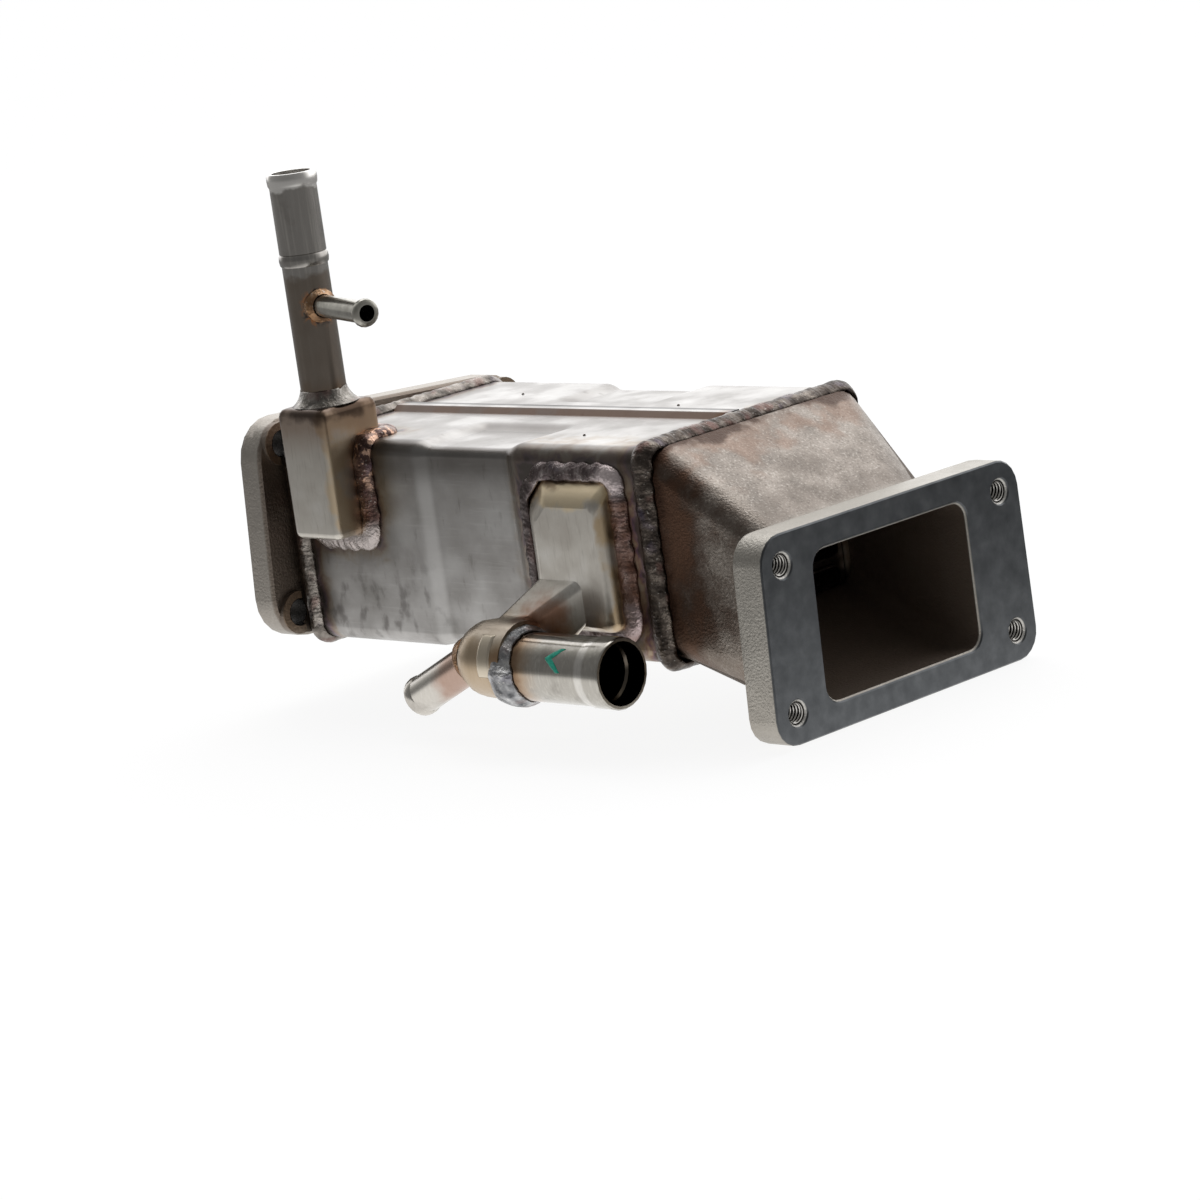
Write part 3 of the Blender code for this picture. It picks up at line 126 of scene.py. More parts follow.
def overlap(tree, *steps):
    """The share where all steps hold, as their product. A step is a share, or (value, start, end) for a
    smooth rise from 0 to 1, or (value, start, end, low, high) for a smooth change from low to high."""
    product = None
    for step in steps:
        if isinstance(step, tuple):
            limits = dict(zip(("Value", "From Min", "From Max", "To Min", "To Max"), step))
            step = add(tree, "ShaderNodeMapRange", limits, interpolation_type="SMOOTHSTEP").outputs[0]
        if product is not None:
            step = add(tree, "ShaderNodeMath", {0: product, 1: step}, operation="MULTIPLY").outputs[0]
        product = step
    return product


def away_from(tree, place, low, high):
    """The distance from a box between two corners: what sticks out of it along each axis, as one length."""
    centre = [(a + b) / 2 for a, b in zip(low, high)]
    half = [(b - a) / 2 for a, b in zip(low, high)]
    moved = add(tree, "ShaderNodeVectorMath", {0: place, 1: centre}, operation="SUBTRACT")
    folded = add(tree, "ShaderNodeVectorMath", {0: moved.outputs[0]}, operation="ABSOLUTE")
    beyond = add(tree, "ShaderNodeVectorMath", {0: folded.outputs[0], 1: half}, operation="SUBTRACT")
    outside = add(tree, "ShaderNodeVectorMath", {0: beyond.outputs[0], 1: (0, 0, 0)}, operation="MAXIMUM")
    return add(tree, "ShaderNodeVectorMath", {0: outside.outputs[0]}, operation="LENGTH").outputs["Value"]


FLOOR_REACH = 9.0
FLOOR_LEVEL = -0.0002
FLOOR_WHITE = 1.07
FLOOR_SHADOW_SHARE = 0.17
FLOOR_MIDDLE = (COOLER.x + 0.02, COOLER.y - 0.03, 0.0)
FLOOR_CARD = (COOLER.x - 0.26, COOLER.y - 0.13, 0.0)


def make_floor():
    """A flat square of white paper. The camera sees it white with a share of its real shadow, and the steel
    sees it fall to grey away from the cooler, with one bright card beside it."""
    mesh = bpy.data.meshes.new("studio_floor")
    turns = ((-1, -1), (1, -1), (1, 1), (-1, 1))
    mesh.from_pydata([(x * FLOOR_REACH, y * FLOOR_REACH, FLOOR_LEVEL) for x, y in turns], [], [(0, 1, 2, 3)])
    floor = bpy.data.objects.new("studio_floor", mesh)
    bpy.context.scene.collection.objects.link(floor)
    paper = bpy.data.materials.new("white_paper")
    paper.use_nodes = True
    tree = paper.node_tree
    tree.nodes.clear()
    rays = add(tree, "ShaderNodeLightPath")
    spot = add(tree, "ShaderNodeNewGeometry").outputs["Position"]
    around = overlap(tree, (away_from(tree, spot, FLOOR_MIDDLE, FLOOR_MIDDLE), 0.10, 0.36, 1.15, 0.32))
    card = overlap(tree, (away_from(tree, spot, FLOOR_CARD, FLOOR_CARD), 0.13, 0.05))
    brightest = add(tree, "ShaderNodeMath", {0: around, 1: card}, operation="MAXIMUM")
    mirrored = add(tree, "ShaderNodeEmission", {"Strength": brightest.outputs[0]})
    matt = add(tree, "ShaderNodeBsdfDiffuse", {"Color": linear("F4F4F4")})
    white = add(tree, "ShaderNodeEmission", {"Color": linear("FFFFFF"), "Strength": FLOOR_WHITE})
    share = overlap(tree, rays.outputs["Is Camera Ray"], 1 - FLOOR_SHADOW_SHARE)
    direct = add(tree, "ShaderNodeMixShader", {0: share, 1: matt.outputs[0], 2: white.outputs[0]})
    glossy = rays.outputs["Is Glossy Ray"]
    seen = add(tree, "ShaderNodeMixShader", {0: glossy, 1: direct.outputs[0], 2: mirrored.outputs[0]})
    add(tree, "ShaderNodeOutputMaterial", {"Surface": seen.outputs[0]})
    mesh.materials.append(paper)


ROOM_LEVEL = 1.8
ROOM_FRONT = Vector((0.35, -0.92, -0.05)).normalized()
ROOM_GREYS = (
    (0.0, (1.0, 1.0, 1.0, 1.0)),
    (1.0, (0.10, 0.10, 0.10, 1.0)),
    (0.25, (0.92, 0.92, 0.94, 1.0)),
    (0.34, (0.55, 0.55, 0.55, 1.0)),
    (0.43, (0.26, 0.26, 0.255, 1.0)),
    (0.54, (0.14, 0.14, 0.14, 1.0)),
)


def make_room():
    """White for the camera, and for the steel a room that goes from white card behind to grey in front."""
    world = bpy.data.worlds.new("studio_room")
    world.use_nodes = True
    tree = world.node_tree
    tree.nodes.clear()
    seen = add(tree, "ShaderNodeLightPath").outputs["Is Camera Ray"]
    toward = add(tree, "ShaderNodeTexCoord").outputs["Generated"]
    facing = add(tree, "ShaderNodeVectorMath", {0: toward, 1: ROOM_FRONT}, operation="DOT_PRODUCT")
    half_turn = {0: facing.outputs["Value"], 1: 0.5, 2: 0.5}
    level = add(tree, "ShaderNodeMath", half_turn, operation="MULTIPLY_ADD")
    grey = add(tree, "ShaderNodeValToRGB", {"Fac": level.outputs[0]}, stops=ROOM_GREYS)
    white = linear("FFFFFF")
    shade = add(tree, "ShaderNodeMix", {0: seen, 6: grey.outputs["Color"], 7: white}, data_type="RGBA")
    strength = add(tree, "ShaderNodeMix", {0: seen, 2: ROOM_LEVEL, 3: 1.0})
    light = add(tree, "ShaderNodeBackground", {"Color": shade.outputs[2], "Strength": strength.outputs[0]})
    add(tree, "ShaderNodeOutputWorld", {"Surface": light.outputs[0]})
    bpy.context.scene.world = world


make_floor()
make_room()

SOFTBOX_WIDTH = 1.1
SOFTBOX_HEIGHT = 0.8
SOFTBOX_WATTS = 3.2
SOFTBOX_AIM = COOLER + Vector((0.02, 0.0, 0.0))
SOFTBOX_PLACE = SOFTBOX_AIM + Vector((-0.25, 0.45, 1.10))
lamp = bpy.data.lights.new("overhead_softbox", "AREA")
lamp.shape = "RECTANGLE"
lamp.size = SOFTBOX_WIDTH
lamp.size_y = SOFTBOX_HEIGHT
lamp.energy = SOFTBOX_WATTS
softbox = bpy.data.objects.new("overhead_softbox", lamp)
bpy.context.scene.collection.objects.link(softbox)
facing = (SOFTBOX_AIM - SOFTBOX_PLACE).to_track_quat("-Z", "Y").to_matrix().to_4x4()
softbox.matrix_world = Matrix.Translation(SOFTBOX_PLACE) @ facing


# --- Core --------------------------------------------------------------------------------------------------
# Flat tubes with a folded strip in each, furnace-brazed into two header plates. Only their ends are seen, in
# the dark of the gas openings.
SHARP_ANGLE = 35.0


def metal(name, roughness):
    """A metal with its node tree, its shader and the place on the cooler that patterns are worked out from."""
    material = bpy.data.materials.new(name)
    material.use_nodes = True
    tree = material.node_tree
    shader = tree.nodes["Principled BSDF"]
    shader.inputs["Metallic"].default_value = 1.0
    shader.inputs["Roughness"].default_value = roughness
    origin = add(tree, "ShaderNodeTexCoord")
    place = add(tree, "ShaderNodeMapping", {"Vector": origin.outputs["Object"], "Location": -COOLER})
    return material, tree, shader, place.outputs[0]


def grain(tree, place, size, stretch=(1.0, 1.0, 1.0), detail=3.0, swirl=0.0):
    """An irregular pattern whose patches have a real size; a stretch above 1 makes them longer that way."""
    scaled = add(tree, "ShaderNodeMapping", {"Vector": place, "Scale": [1 / (size * way) for way in stretch]})
    values = {"Vector": scaled.outputs[0], "Scale": 1.0, "Detail": detail, "Distortion": swirl}
    return add(tree, "ShaderNodeTexNoise", values).outputs["Fac"]


def mottled(tree, place, size, shades, stretch=(1.0, 1.0, 1.0), detail=3.0):
    """A colour that follows an irregular pattern through (level, shade) stops, and that pattern."""
    pattern = grain(tree, place, size, stretch, detail)
    stops = [(level, linear(shade)) for level, shade in shades]
    return add(tree, "ShaderNodeValToRGB", {"Fac": pattern}, stops).outputs["Color"], pattern


def relief(tree, shader, height, share, depth):
    """Bumps as high as a pattern's share of a real depth."""
    bump = add(tree, "ShaderNodeBump", {"Height": height, "Strength": share, "Distance": depth})
    tree.links.new(bump.outputs[0], shader.inputs["Normal"])


def edge_group(limit):
    """Smooth faces, with every edge over the limit angle sharp."""
    group = bpy.data.node_groups.new("sharp_edges", "GeometryNodeTree")
    group.interface.new_socket("Geometry", in_out="INPUT", socket_type="NodeSocketGeometry")
    group.interface.new_socket("Geometry", in_out="OUTPUT", socket_type="NodeSocketGeometry")
    start = add(group, "NodeGroupInput").outputs[0]
    angle = add(group, "GeometryNodeInputMeshEdgeAngle").outputs[0]
    limits = {0: angle, 1: math.radians(limit)}
    steep = add(group, "FunctionNodeCompare", limits, operation="GREATER_THAN").outputs[0]
    values = {"Mesh": start, "Remove Custom": True, "Edge Sharpness": steep, "Face Sharpness": False}
    shaded = add(group, "GeometryNodeSetMeshNormal", values, mode="SHARPNESS")
    add(group, "NodeGroupOutput", {0: shaded.outputs[0]})
    return group


sharp_edges = edge_group(SHARP_ANGLE)


def dress(node, material):
    """Gives a CAD node its finish, and shades it: points joined, steep edges sharp, large faces flat."""
    made = NODES[node]
    made.data.materials.clear()
    made.data.materials.append(material)
    joined = made.modifiers.new("joined_points", "WELD")
    joined.merge_threshold = 0.00001
    made.modifiers.new("sharp_edges", "NODES").node_group = sharp_edges
    weighted = made.modifiers.new("weighted_normals", "WEIGHTED_NORMAL")
    weighted.mode = "FACE_AREA_WITH_ANGLE"
    weighted.keep_sharp = True


def brazed_core():
    """Furnace-brazed stainless: dull dark grey brown with a fine bloom."""
    material, tree, shader, place = metal("furnace_brazed_stainless", 0.42)
    colour, bloom = mottled(tree, place, 0.004, ((0.35, "6A6158"), (0.7, "A0978D")), detail=5.0)
    tree.links.new(colour, shader.inputs["Base Color"])
    relief(tree, shader, bloom, 0.3, 0.0002)
    return material


core_steel = brazed_core()
for node in sorted(NODES):
    if node.startswith(("gas_tube_", "fin_")) or node.endswith("header_plate"):
        dress(node, core_steel)


# --- Pressed jacket ----------------------------------------------------------------------------------------
# Two halves pressed from 1.5 mm austenitic stainless sheet and lapped along top and bottom. The sheet is
# pickled after welding, so it is a soft silver grey, with straw, brown and purple heat tint along the beads.
OUTLET_REACH = 0.0767
JACKET_HALF_HEIGHT = 0.0338
JACKET_ROUND = 0.0050
INLET_BOX_LOW = (-0.0726, -0.0700, 0.0036)
INLET_BOX_HIGH = (-0.0508, -0.0360, 0.0500)
OUTLET_BOX_LOW = (0.0268, -0.0700, -0.0260)
OUTLET_BOX_HIGH = (0.0642, -0.0400, 0.0248)
BEAD_MARGIN = 0.0030
COLLAR_MARGIN = 0.0040
BOX_TINT_REACH = 0.00935
INLET_TINT_REACH = 0.0065
OUTLET_TINT_REACH = 0.0080
OXIDE_COLOURS = ((0.0, "3A302C"), (1.0, "A9A397"), (0.16, "5B4150"), (0.32, "6F4E3C"), (0.55, "8C7350"))
OXIDE_COVER = ((0.0, 0.85), (1.0, 0.0), (0.35, 0.612))


def laid(tree, base, shade, strength, *steps):
    """A shade laid over the base by a strength, where all its steps hold."""
    colour = linear(shade) if isinstance(shade, str) else shade
    share = overlap(tree, strength, *steps)
    return add(tree, "ShaderNodeMix", {0: share, 6: base, 7: colour}, data_type="RGBA").outputs[2]


def strayed(tree, value, pattern, reach, spread=0.2):
    """A value moved by up to a reach either way, while a pattern goes through its spread about the middle."""
    moved = overlap(tree, (pattern, 0.5 - spread, 0.5 + spread, -reach, reach))
    return add(tree, "ShaderNodeMath", {0: value, 1: moved}, operation="ADD").outputs[0]


def heat_tint(tree, base, distance, reach, pattern):
    """Oxide colours by distance from a weld: dark scale, purple, brown and straw, then the bare metal."""
    distance = strayed(tree, distance, pattern, 0.25 * reach)
    share = add(tree, "ShaderNodeMath", {0: distance, 1: reach}, operation="DIVIDE", use_clamp=True).outputs[0]
    colours = [(level, linear(shade)) for level, shade in OXIDE_COLOURS]
    covers = [(level, (cover, cover, cover, 1.0)) for level, cover in OXIDE_COVER]
    oxide = add(tree, "ShaderNodeValToRGB", {"Fac": share}, colours).outputs["Color"]
    cover = add(tree, "ShaderNodeValToRGB", {"Fac": share}, covers).outputs["Color"]
    return laid(tree, base, oxide, cover)


def pickled_sheet():
    """Pickled stainless sheet: blotched silver grey, faintly streaked, with oxide tint near every bead, and
    painted reflections and shade on its front, waist and top.
    """
    material, tree, shader, place = metal("pickled_stainless_sheet", 0.36)
    shades = ((0.30, "95928E"), (0.72, "B6B4B1"), (0.5, "A5A29F"))
    colour, blotch = mottled(tree, place, 0.016, shades, (1.0, 1.0, 0.8), 5.0)
    streak = grain(tree, place, 0.0009, (14.0, 14.0, 1.0), 2.0)
    smear = grain(tree, place, 0.0030, (1.0, 1.0, 3.0), 5.0)
    colour = laid(tree, colour, "6C6862", 0.45, (smear, 0.60, 0.78))
    colour = laid(tree, colour, "D5D3D0", 0.16, (streak, 0.55, 0.80))
    # Heat tint round both boxes and along both ends.
    waver = grain(tree, place, 0.007, detail=4.0, swirl=0.8)
    for low, top in ((INLET_BOX_LOW, INLET_BOX_HIGH), (OUTLET_BOX_LOW, OUTLET_BOX_HIGH)):
        beside = away_from(tree, place, [a - BEAD_MARGIN for a in low], [b + BEAD_MARGIN for b in top])
        colour = heat_tint(tree, colour, beside, BOX_TINT_REACH, waver)
    inlet_end = away_from(tree, place, (-1, -1, -1), (COLLAR_MARGIN - INLET_REACH, 1, 1))
    colour = heat_tint(tree, colour, inlet_end, INLET_TINT_REACH, waver)
    outlet_end = away_from(tree, place, (OUTLET_REACH - COLLAR_MARGIN, -1, -1), (1, 1, 1))
    colour = heat_tint(tree, colour, outlet_end, OUTLET_TINT_REACH, waver)
    axes = add(tree, "ShaderNodeSeparateXYZ", {0: place})
    along, across, high = (axes.outputs[axis] for axis in "XYZ")
    # The lap: a ridge browned along its front slope.
    on_top = (high, 0.0325, 0.0335)
    colour = laid(tree, colour, "6E4F3A", 0.75, (across, -0.0062, -0.0042), (across, -0.0016, -0.0030), on_top)
    # Painted reflections: the waist's slopes are painted darker on top, standing in for a darker part of the
    # room, and in front its left end is painted lighter and its right end darker. The top is also darker in
    # blotches towards the inlet end.
    folded = add(tree, "ShaderNodeMath", {0: across}, operation="ABSOLUTE").outputs[0]
    slope = overlap(tree, (folded, 0.0145, 0.0175), (folded, 0.0300, 0.0215), (high, 0.0280, 0.0300))
    colour = laid(tree, colour, "7E7A76", 0.78, slope, (along, -0.0260, -0.0200), (along, 0.0215, 0.0160))
    run = add(tree, "ShaderNodeMath", {0: along, 1: blotch}, operation="ADD").outputs[0]
    colour = laid(tree, colour, "86827F", 0.30, (high, 0.0300, 0.0320), (run, 0.52, 0.44))
    front = (across, -0.0420, -0.0440)
    colour = laid(tree, colour, "DAD8D5", 0.45, (along, -0.0270, -0.0235), (along, -0.0190, -0.0215), front)
    colour = laid(tree, colour, "5F5A56", 0.45, (along, 0.0130, 0.0180), (along, 0.0230, 0.0200), front)
    # Painted shade on the front: a dark reflection under the upper edge and a shadow beside the inlet box.
    # Real scuffs low on the left.
    colour = laid(tree, colour, "544F4A", 0.62, (high, 0.0170, 0.0270), front)
    colour = laid(tree, colour, "4F483F", 0.50, (along, -0.0320, -0.0420), (high, -0.014, -0.002), front)
    scuff = grain(tree, place, 0.0060, (1.0, 1.0, 1.6), 9.0)
    low_left = overlap(tree, (high, 0.004, -0.020), (along, -0.010, -0.030))
    colour = laid(tree, colour, "4E4945", 0.55, (scuff, 0.50, 0.66), low_left)
    # The dark seam behind the lap: painted shade in the gap at the lap's back edge, along the joint.
    colour = laid(tree, colour, "2E2824", 0.90, (across, 0.0, 0.0006), (across, 0.0040, 0.0030), on_top)
    tree.links.new(colour, shader.inputs["Base Color"])
    tree.links.new(overlap(tree, (blotch, 0.25, 0.75, 0.42, 0.30)), shader.inputs["Roughness"])
    height = add(tree, "ShaderNodeMath", {0: streak, 1: blotch}, operation="ADD").outputs[0]
    relief(tree, shader, height, 0.10, 0.0001)
    return material


sheet_steel = pickled_sheet()
dress("front_shell", sheet_steel)
dress("rear_shell", sheet_steel)


# --- Castings ----------------------------------------------------------------------------------------------
# Shot-blasted heat-resistant steel castings. The skin keeps the grain of the sand mould, the gasket face is
# milled, and the heat of the collar weld has browned the duct beside the bead.
SAND_GRAIN = 0.0008
CASTING_START = OUTLET_REACH + 0.0003
FLANGE_BACK = 0.1207
FLANGE_FACE = 0.1323
INLET_BACK = -0.0875
HOLE_SPREAD = 0.0513
HOLE_CORNERS = ((-1, 1), (1, 1), (1, -1), (-1, -1))
# The middle surfaces of the duct's walls, from the collar to the flange.
DUCT_WALLS = (
    ("Y", "GREATER_THAN", -0.0455, -0.0425),
    ("Y", "LESS_THAN", 0.0455, 0.0362),
    ("Z", "LESS_THAN", 0.0313, 0.0054),
    ("Z", "GREATER_THAN", -0.0313, -0.0480),
)


def bolt_pattern(rise, taper, turn, lift):
    """The middles of four holes in the YZ plane: a rectangle, narrower as it rises, turned and lifted."""
    turn = math.radians(turn)
    found = []
    for side, level in HOLE_CORNERS:
        y, z = side * HOLE_SPREAD * (1 - taper * level * rise), level * rise
        found.append((y * math.cos(turn) - z * math.sin(turn), y * math.sin(turn) + z * math.cos(turn) + lift))
    return found


INLET_HOLES = bolt_pattern(rise=0.0282, taper=0.0, turn=-3.6, lift=0.0013)
OUTLET_HOLES = bolt_pattern(rise=0.0224, taper=0.45, turn=-0.5, lift=-0.0218)


def cast_skin(tree, place):
    """Colour and height of a blasted casting: warm grey, mottled, with the light and dark grain of sand."""
    shades = ((0.25, "7C756E"), (0.78, "958D85"), (0.5, "888078"))
    colour, mottle = mottled(tree, place, 0.009, shades, detail=6.0)
    sand = grain(tree, place, SAND_GRAIN, detail=4.0)
    colour = laid(tree, colour, "C6C0B8", 0.40, (sand, 0.54, 0.70))
    colour = laid(tree, colour, "4C453E", 0.45, (sand, 0.45, 0.30))
    return colour, sand, mottle


def inside_duct(tree, axes):
    """Where a point lies within the middle surfaces of the four walls, which run straight to the flange."""
    found = []
    for axis, way, start, end in DUCT_WALLS:
        ends = {"From Min": CASTING_START, "From Max": FLANGE_BACK, "To Min": start, "To Max": end}
        limit = add(tree, "ShaderNodeMapRange", {"Value": axes.outputs["X"], **ends}).outputs[0]
        found.append(add(tree, "ShaderNodeMath", {0: axes.outputs[axis], 1: limit}, operation=way).outputs[0])
    return overlap(tree, *found)


def outlet_cast_steel():
    """The outlet casting: blasted skin, browned duct, sooty passage, milled face painted dark as a reflection,
    painted shade in the tapped holes, bright countersinks.
    """
    material, tree, shader, place = metal("shot_blasted_cast_steel", 0.5)
    colour, sand, mottle = cast_skin(tree, place)
    axes = add(tree, "ShaderNodeSeparateXYZ", {0: place})
    along, across, high = (axes.outputs[axis] for axis in "XYZ")
    patch = grain(tree, place, 0.012, detail=6.0)
    run = strayed(tree, along, patch, 0.014, 0.25)
    # The front wall is scorched from the bead almost to the flange, the roof only beside the bead.
    front = (across, -0.0400, -0.0445)
    colour = laid(tree, colour, "4A372C", 0.85, front, (run, 0.1180, 0.0900))
    colour = laid(tree, colour, "2B1F1B", 0.85, front, (run, 0.0960, 0.0810))
    colour = laid(tree, colour, "80604C", 0.42, (run, 0.0960, 0.0800))
    toe = strayed(tree, along, patch, 0.0035, 0.25)
    colour = laid(tree, colour, "3B2A22", 0.80, (toe, 0.0850, 0.0815))
    colour = laid(tree, colour, "655C54", 0.38, (across, -0.0430, -0.0390), (run, 0.1030, 0.1130))
    colour = laid(tree, colour, "8A7A6C", 0.50, (high, -0.020, -0.045))
    # The flange's own skin is a cooler grey, and its face is milled; the face's dark slate grey is a painted
    # reflection of the dark room in front.
    colour = laid(tree, colour, "B4B1A9", 0.65, (along, FLANGE_BACK - 0.004, FLANGE_BACK + 0.002))
    face = overlap(tree, (along, FLANGE_FACE - 0.0007, FLANGE_FACE - 0.0003))
    milled = ((0.30, "4C4E50"), (0.75, "626466"), (0.5, "555759"))
    colour = laid(tree, colour, mottled(tree, place, 0.006, milled, detail=7.0)[0], face)
    # Painted shade: the tapped holes are black behind their threads. Each has a bright countersink.
    behind = (along, FLANGE_FACE - 0.0003, FLANGE_FACE - 0.0007)
    cut = overlap(tree, (along, FLANGE_BACK, FLANGE_BACK + 0.001), behind)
    for y, z in OUTLET_HOLES:
        away = away_from(tree, place, (-1, y, z), (1, y, z))
        colour = laid(tree, colour, "141210", 0.95, cut, (away, 0.0037, 0.0035))
        colour = laid(tree, colour, "D2D0CB", 0.80, cut, (away, 0.0048, 0.0046), (away, 0.0035, 0.0037))
    # Dull soot covers the passage.
    soot = overlap(tree, inside_duct(tree, axes), (along, FLANGE_FACE - 0.0008, FLANGE_FACE - 0.0014))
    colour = laid(tree, colour, "5C4E42", 0.96, soot)
    tree.links.new(colour, shader.inputs["Base Color"])
    tree.links.new(overlap(tree, (soot, 0.0, 1.0, 1.0, 0.35)), shader.inputs["Metallic"])
    skin = overlap(tree, (mottle, 0.3, 0.7, 0.50, 0.40))
    smoother = add(tree, "ShaderNodeMath", {0: face, 1: -0.10, 2: skin}, operation="MULTIPLY_ADD").outputs[0]
    rough = add(tree, "ShaderNodeMath", {0: soot, 1: 0.25, 2: smoother}, operation="MULTIPLY_ADD").outputs[0]
    tree.links.new(rough, shader.inputs["Roughness"])
    relief(tree, shader, overlap(tree, sand, (face, 0.0, 1.0, 1.0, 0.06)), 0.50, 0.0005)
    return material


def inlet_cast_steel():
    """The inlet casting: the same skin, darker and browner on the side that faces the jacket, and lighter low
    down as a painted reflection of the floor.
    """
    material, tree, shader, place = metal("blasted_cast_steel_inlet", 0.48)
    colour, sand, _ = cast_skin(tree, place)
    colour = laid(tree, colour, "C2BCB3", 0.55)
    axes = add(tree, "ShaderNodeSeparateXYZ", {0: place})
    along, high = axes.outputs["X"], axes.outputs["Z"]
    colour = laid(tree, colour, "75685D", 0.80, (along, INLET_BACK - 0.0016, INLET_BACK - 0.0004))
    colour = laid(tree, colour, "7C6A58", 0.85, (along, INLET_BACK + 0.0012, INLET_BACK + 0.0018))
    # Painted reflection of the white floor: the casting is lighter low down.
    colour = laid(tree, colour, "C9C7BF", 0.35, (high, -0.026, -0.036))
    # Painted shade: the clear holes are black on their walls.
    for y, z in INLET_HOLES:
        away = away_from(tree, place, (-1, y, z), (1, y, z))
        colour = laid(tree, colour, "1A1614", 0.95, (away, 0.0047, 0.0045))
    tree.links.new(colour, shader.inputs["Base Color"])
    relief(tree, shader, sand, 0.40, 0.0005)
    return material


dress("outlet_casting", outlet_cast_steel())
dress("inlet_casting", inlet_cast_steel())


# --- Tapped holes ------------------------------------------------------------------------------------------
# M8 x 1.25 threads cut into the four holes of the outlet flange. Each is a sleeve with a ridge, and carries
# the ridge's height as the attribute that its steel reads.
THREAD_PITCH = 0.00125
THREAD_CORE = 0.0068
THREAD_DEPTH = 0.0006
THREAD_LENGTH = 0.0090
THREAD_START = 0.0011
THREAD_SIDES = 40
THREAD_STEPS_PER_PITCH = 12
SLEEVE_WALL = 0.00001


def grid_piece(name, grid, material, wrap_rows=True, smooth=True):
    """A mesh from a grid of points, rows by columns: its faces are the grid's cells, its columns join, and its
    rows may."""
    rows, columns = grid.shape[:2]
    row, column = np.meshgrid(np.arange(rows if wrap_rows else rows - 1), np.arange(columns), indexing="ij")
    below, beside = (row + 1) % rows, (column + 1) % columns
    corners = [(row, column), (row, beside), (below, beside), (below, column)]
    faces = np.stack([across * columns + along for across, along in corners], -1).reshape(-1, 4)
    mesh = bpy.data.meshes.new(name)
    mesh.vertices.add(rows * columns)
    mesh.vertices.foreach_set("co", (grid.reshape(-1, 3) + np.array(COOLER)).ravel())
    mesh.loops.add(faces.size)
    mesh.loops.foreach_set("vertex_index", faces.ravel())
    mesh.polygons.add(len(faces))
    mesh.polygons.foreach_set("loop_start", np.arange(len(faces)) * 4)
    mesh.polygons.foreach_set("use_smooth", np.full(len(faces), smooth))
    mesh.update(calc_edges=True)
    points = grid.reshape(-1, 3)[faces]
    normals = np.cross(points[:, 2] - points[:, 0], points[:, 3] - points[:, 1])
    if (points.mean(1) * normals).sum() < 0:
        mesh.flip_normals()
    made = bpy.data.objects.new(name, mesh)
    bpy.context.scene.collection.objects.link(made)
    mesh.materials.append(material)
    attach(made, "root")
    return made


def thread_sleeve(y, z):
    """A closed sleeve in the hole and its ridge's height: the inside radius is the core's less a ridge that
    advances one pitch each turn, the outside radius is the core's."""
    steps = int(THREAD_LENGTH / THREAD_PITCH * THREAD_STEPS_PER_PITCH)
    angle = np.linspace(0, 2 * math.pi, THREAD_SIDES, endpoint=False)
    around, down = np.meshgrid(angle, np.linspace(0, THREAD_LENGTH, steps))
    wave = np.abs(((down / THREAD_PITCH + around / (2 * math.pi)) % 1.0) * 2 - 1)
    inner = THREAD_CORE / 2 - THREAD_DEPTH * np.clip(wave * 1.5 - 0.15, 0, 1)
    inner[0] = inner[-1] = THREAD_CORE / 2 - 2 * SLEEVE_WALL
    outer = np.full_like(inner, THREAD_CORE / 2 - SLEEVE_WALL)
    radius = np.concatenate([inner, outer[::-1]])
    around, down = np.concatenate([around, around]), np.concatenate([down, down[::-1]])
    x = FLANGE_FACE - THREAD_START - down
    crest = np.concatenate([(THREAD_CORE / 2 - inner) / THREAD_DEPTH, 0 * inner])
    return np.stack([x, y + radius * np.cos(around), z + radius * np.sin(around)], -1), crest


def cut_thread():
    """Freshly cut steel: bright on the crests, and dark in the roots as painted shade."""
    material, tree, shader, _ = metal("cut_thread_steel", 0.28)
    crest = add(tree, "ShaderNodeAttribute", attribute_name="crest").outputs["Fac"]
    colour = laid(tree, linear("191614"), "D8D5CF", 1.0, (crest, 0.35, 0.85))
    tree.links.new(colour, shader.inputs["Base Color"])
    return material


thread_steel = cut_thread()
for index, (y, z) in enumerate(OUTLET_HOLES):
    sleeve, crest = thread_sleeve(y, z)
    thread = grid_piece("tapped_thread_%d" % (index + 1), sleeve, thread_steel, smooth=False)
    thread.data.attributes.new("crest", "FLOAT", "POINT").data.foreach_set("value", crest.ravel())


# --- Collar beads ------------------------------------------------------------------------------------------
# Hand-laid arc welds round both ends of the jacket. A bead is a row of overlapping pools, wavy at its toes,
# dark with scale and brown or purple at the edges, with bright spots where the slag came off.
RIPPLE_PITCH = 0.0016
BEAD_SECTION = 15


def waves(s, t, seed, size):
    """A smooth uneven pattern over run s and section t: six sine waves with seeded lengths and phases."""
    draw = np.random.default_rng(seed)
    total = np.zeros(np.broadcast(s, t).shape)
    for _ in range(6):
        pace = draw.uniform(0.5, 1.7)
        slant = draw.uniform(-2.5, 2.5)
        phase = draw.uniform(0, 2 * math.pi)
        total += np.sin(2 * math.pi * pace * s / size + slant * t + phase)
    return total / 6


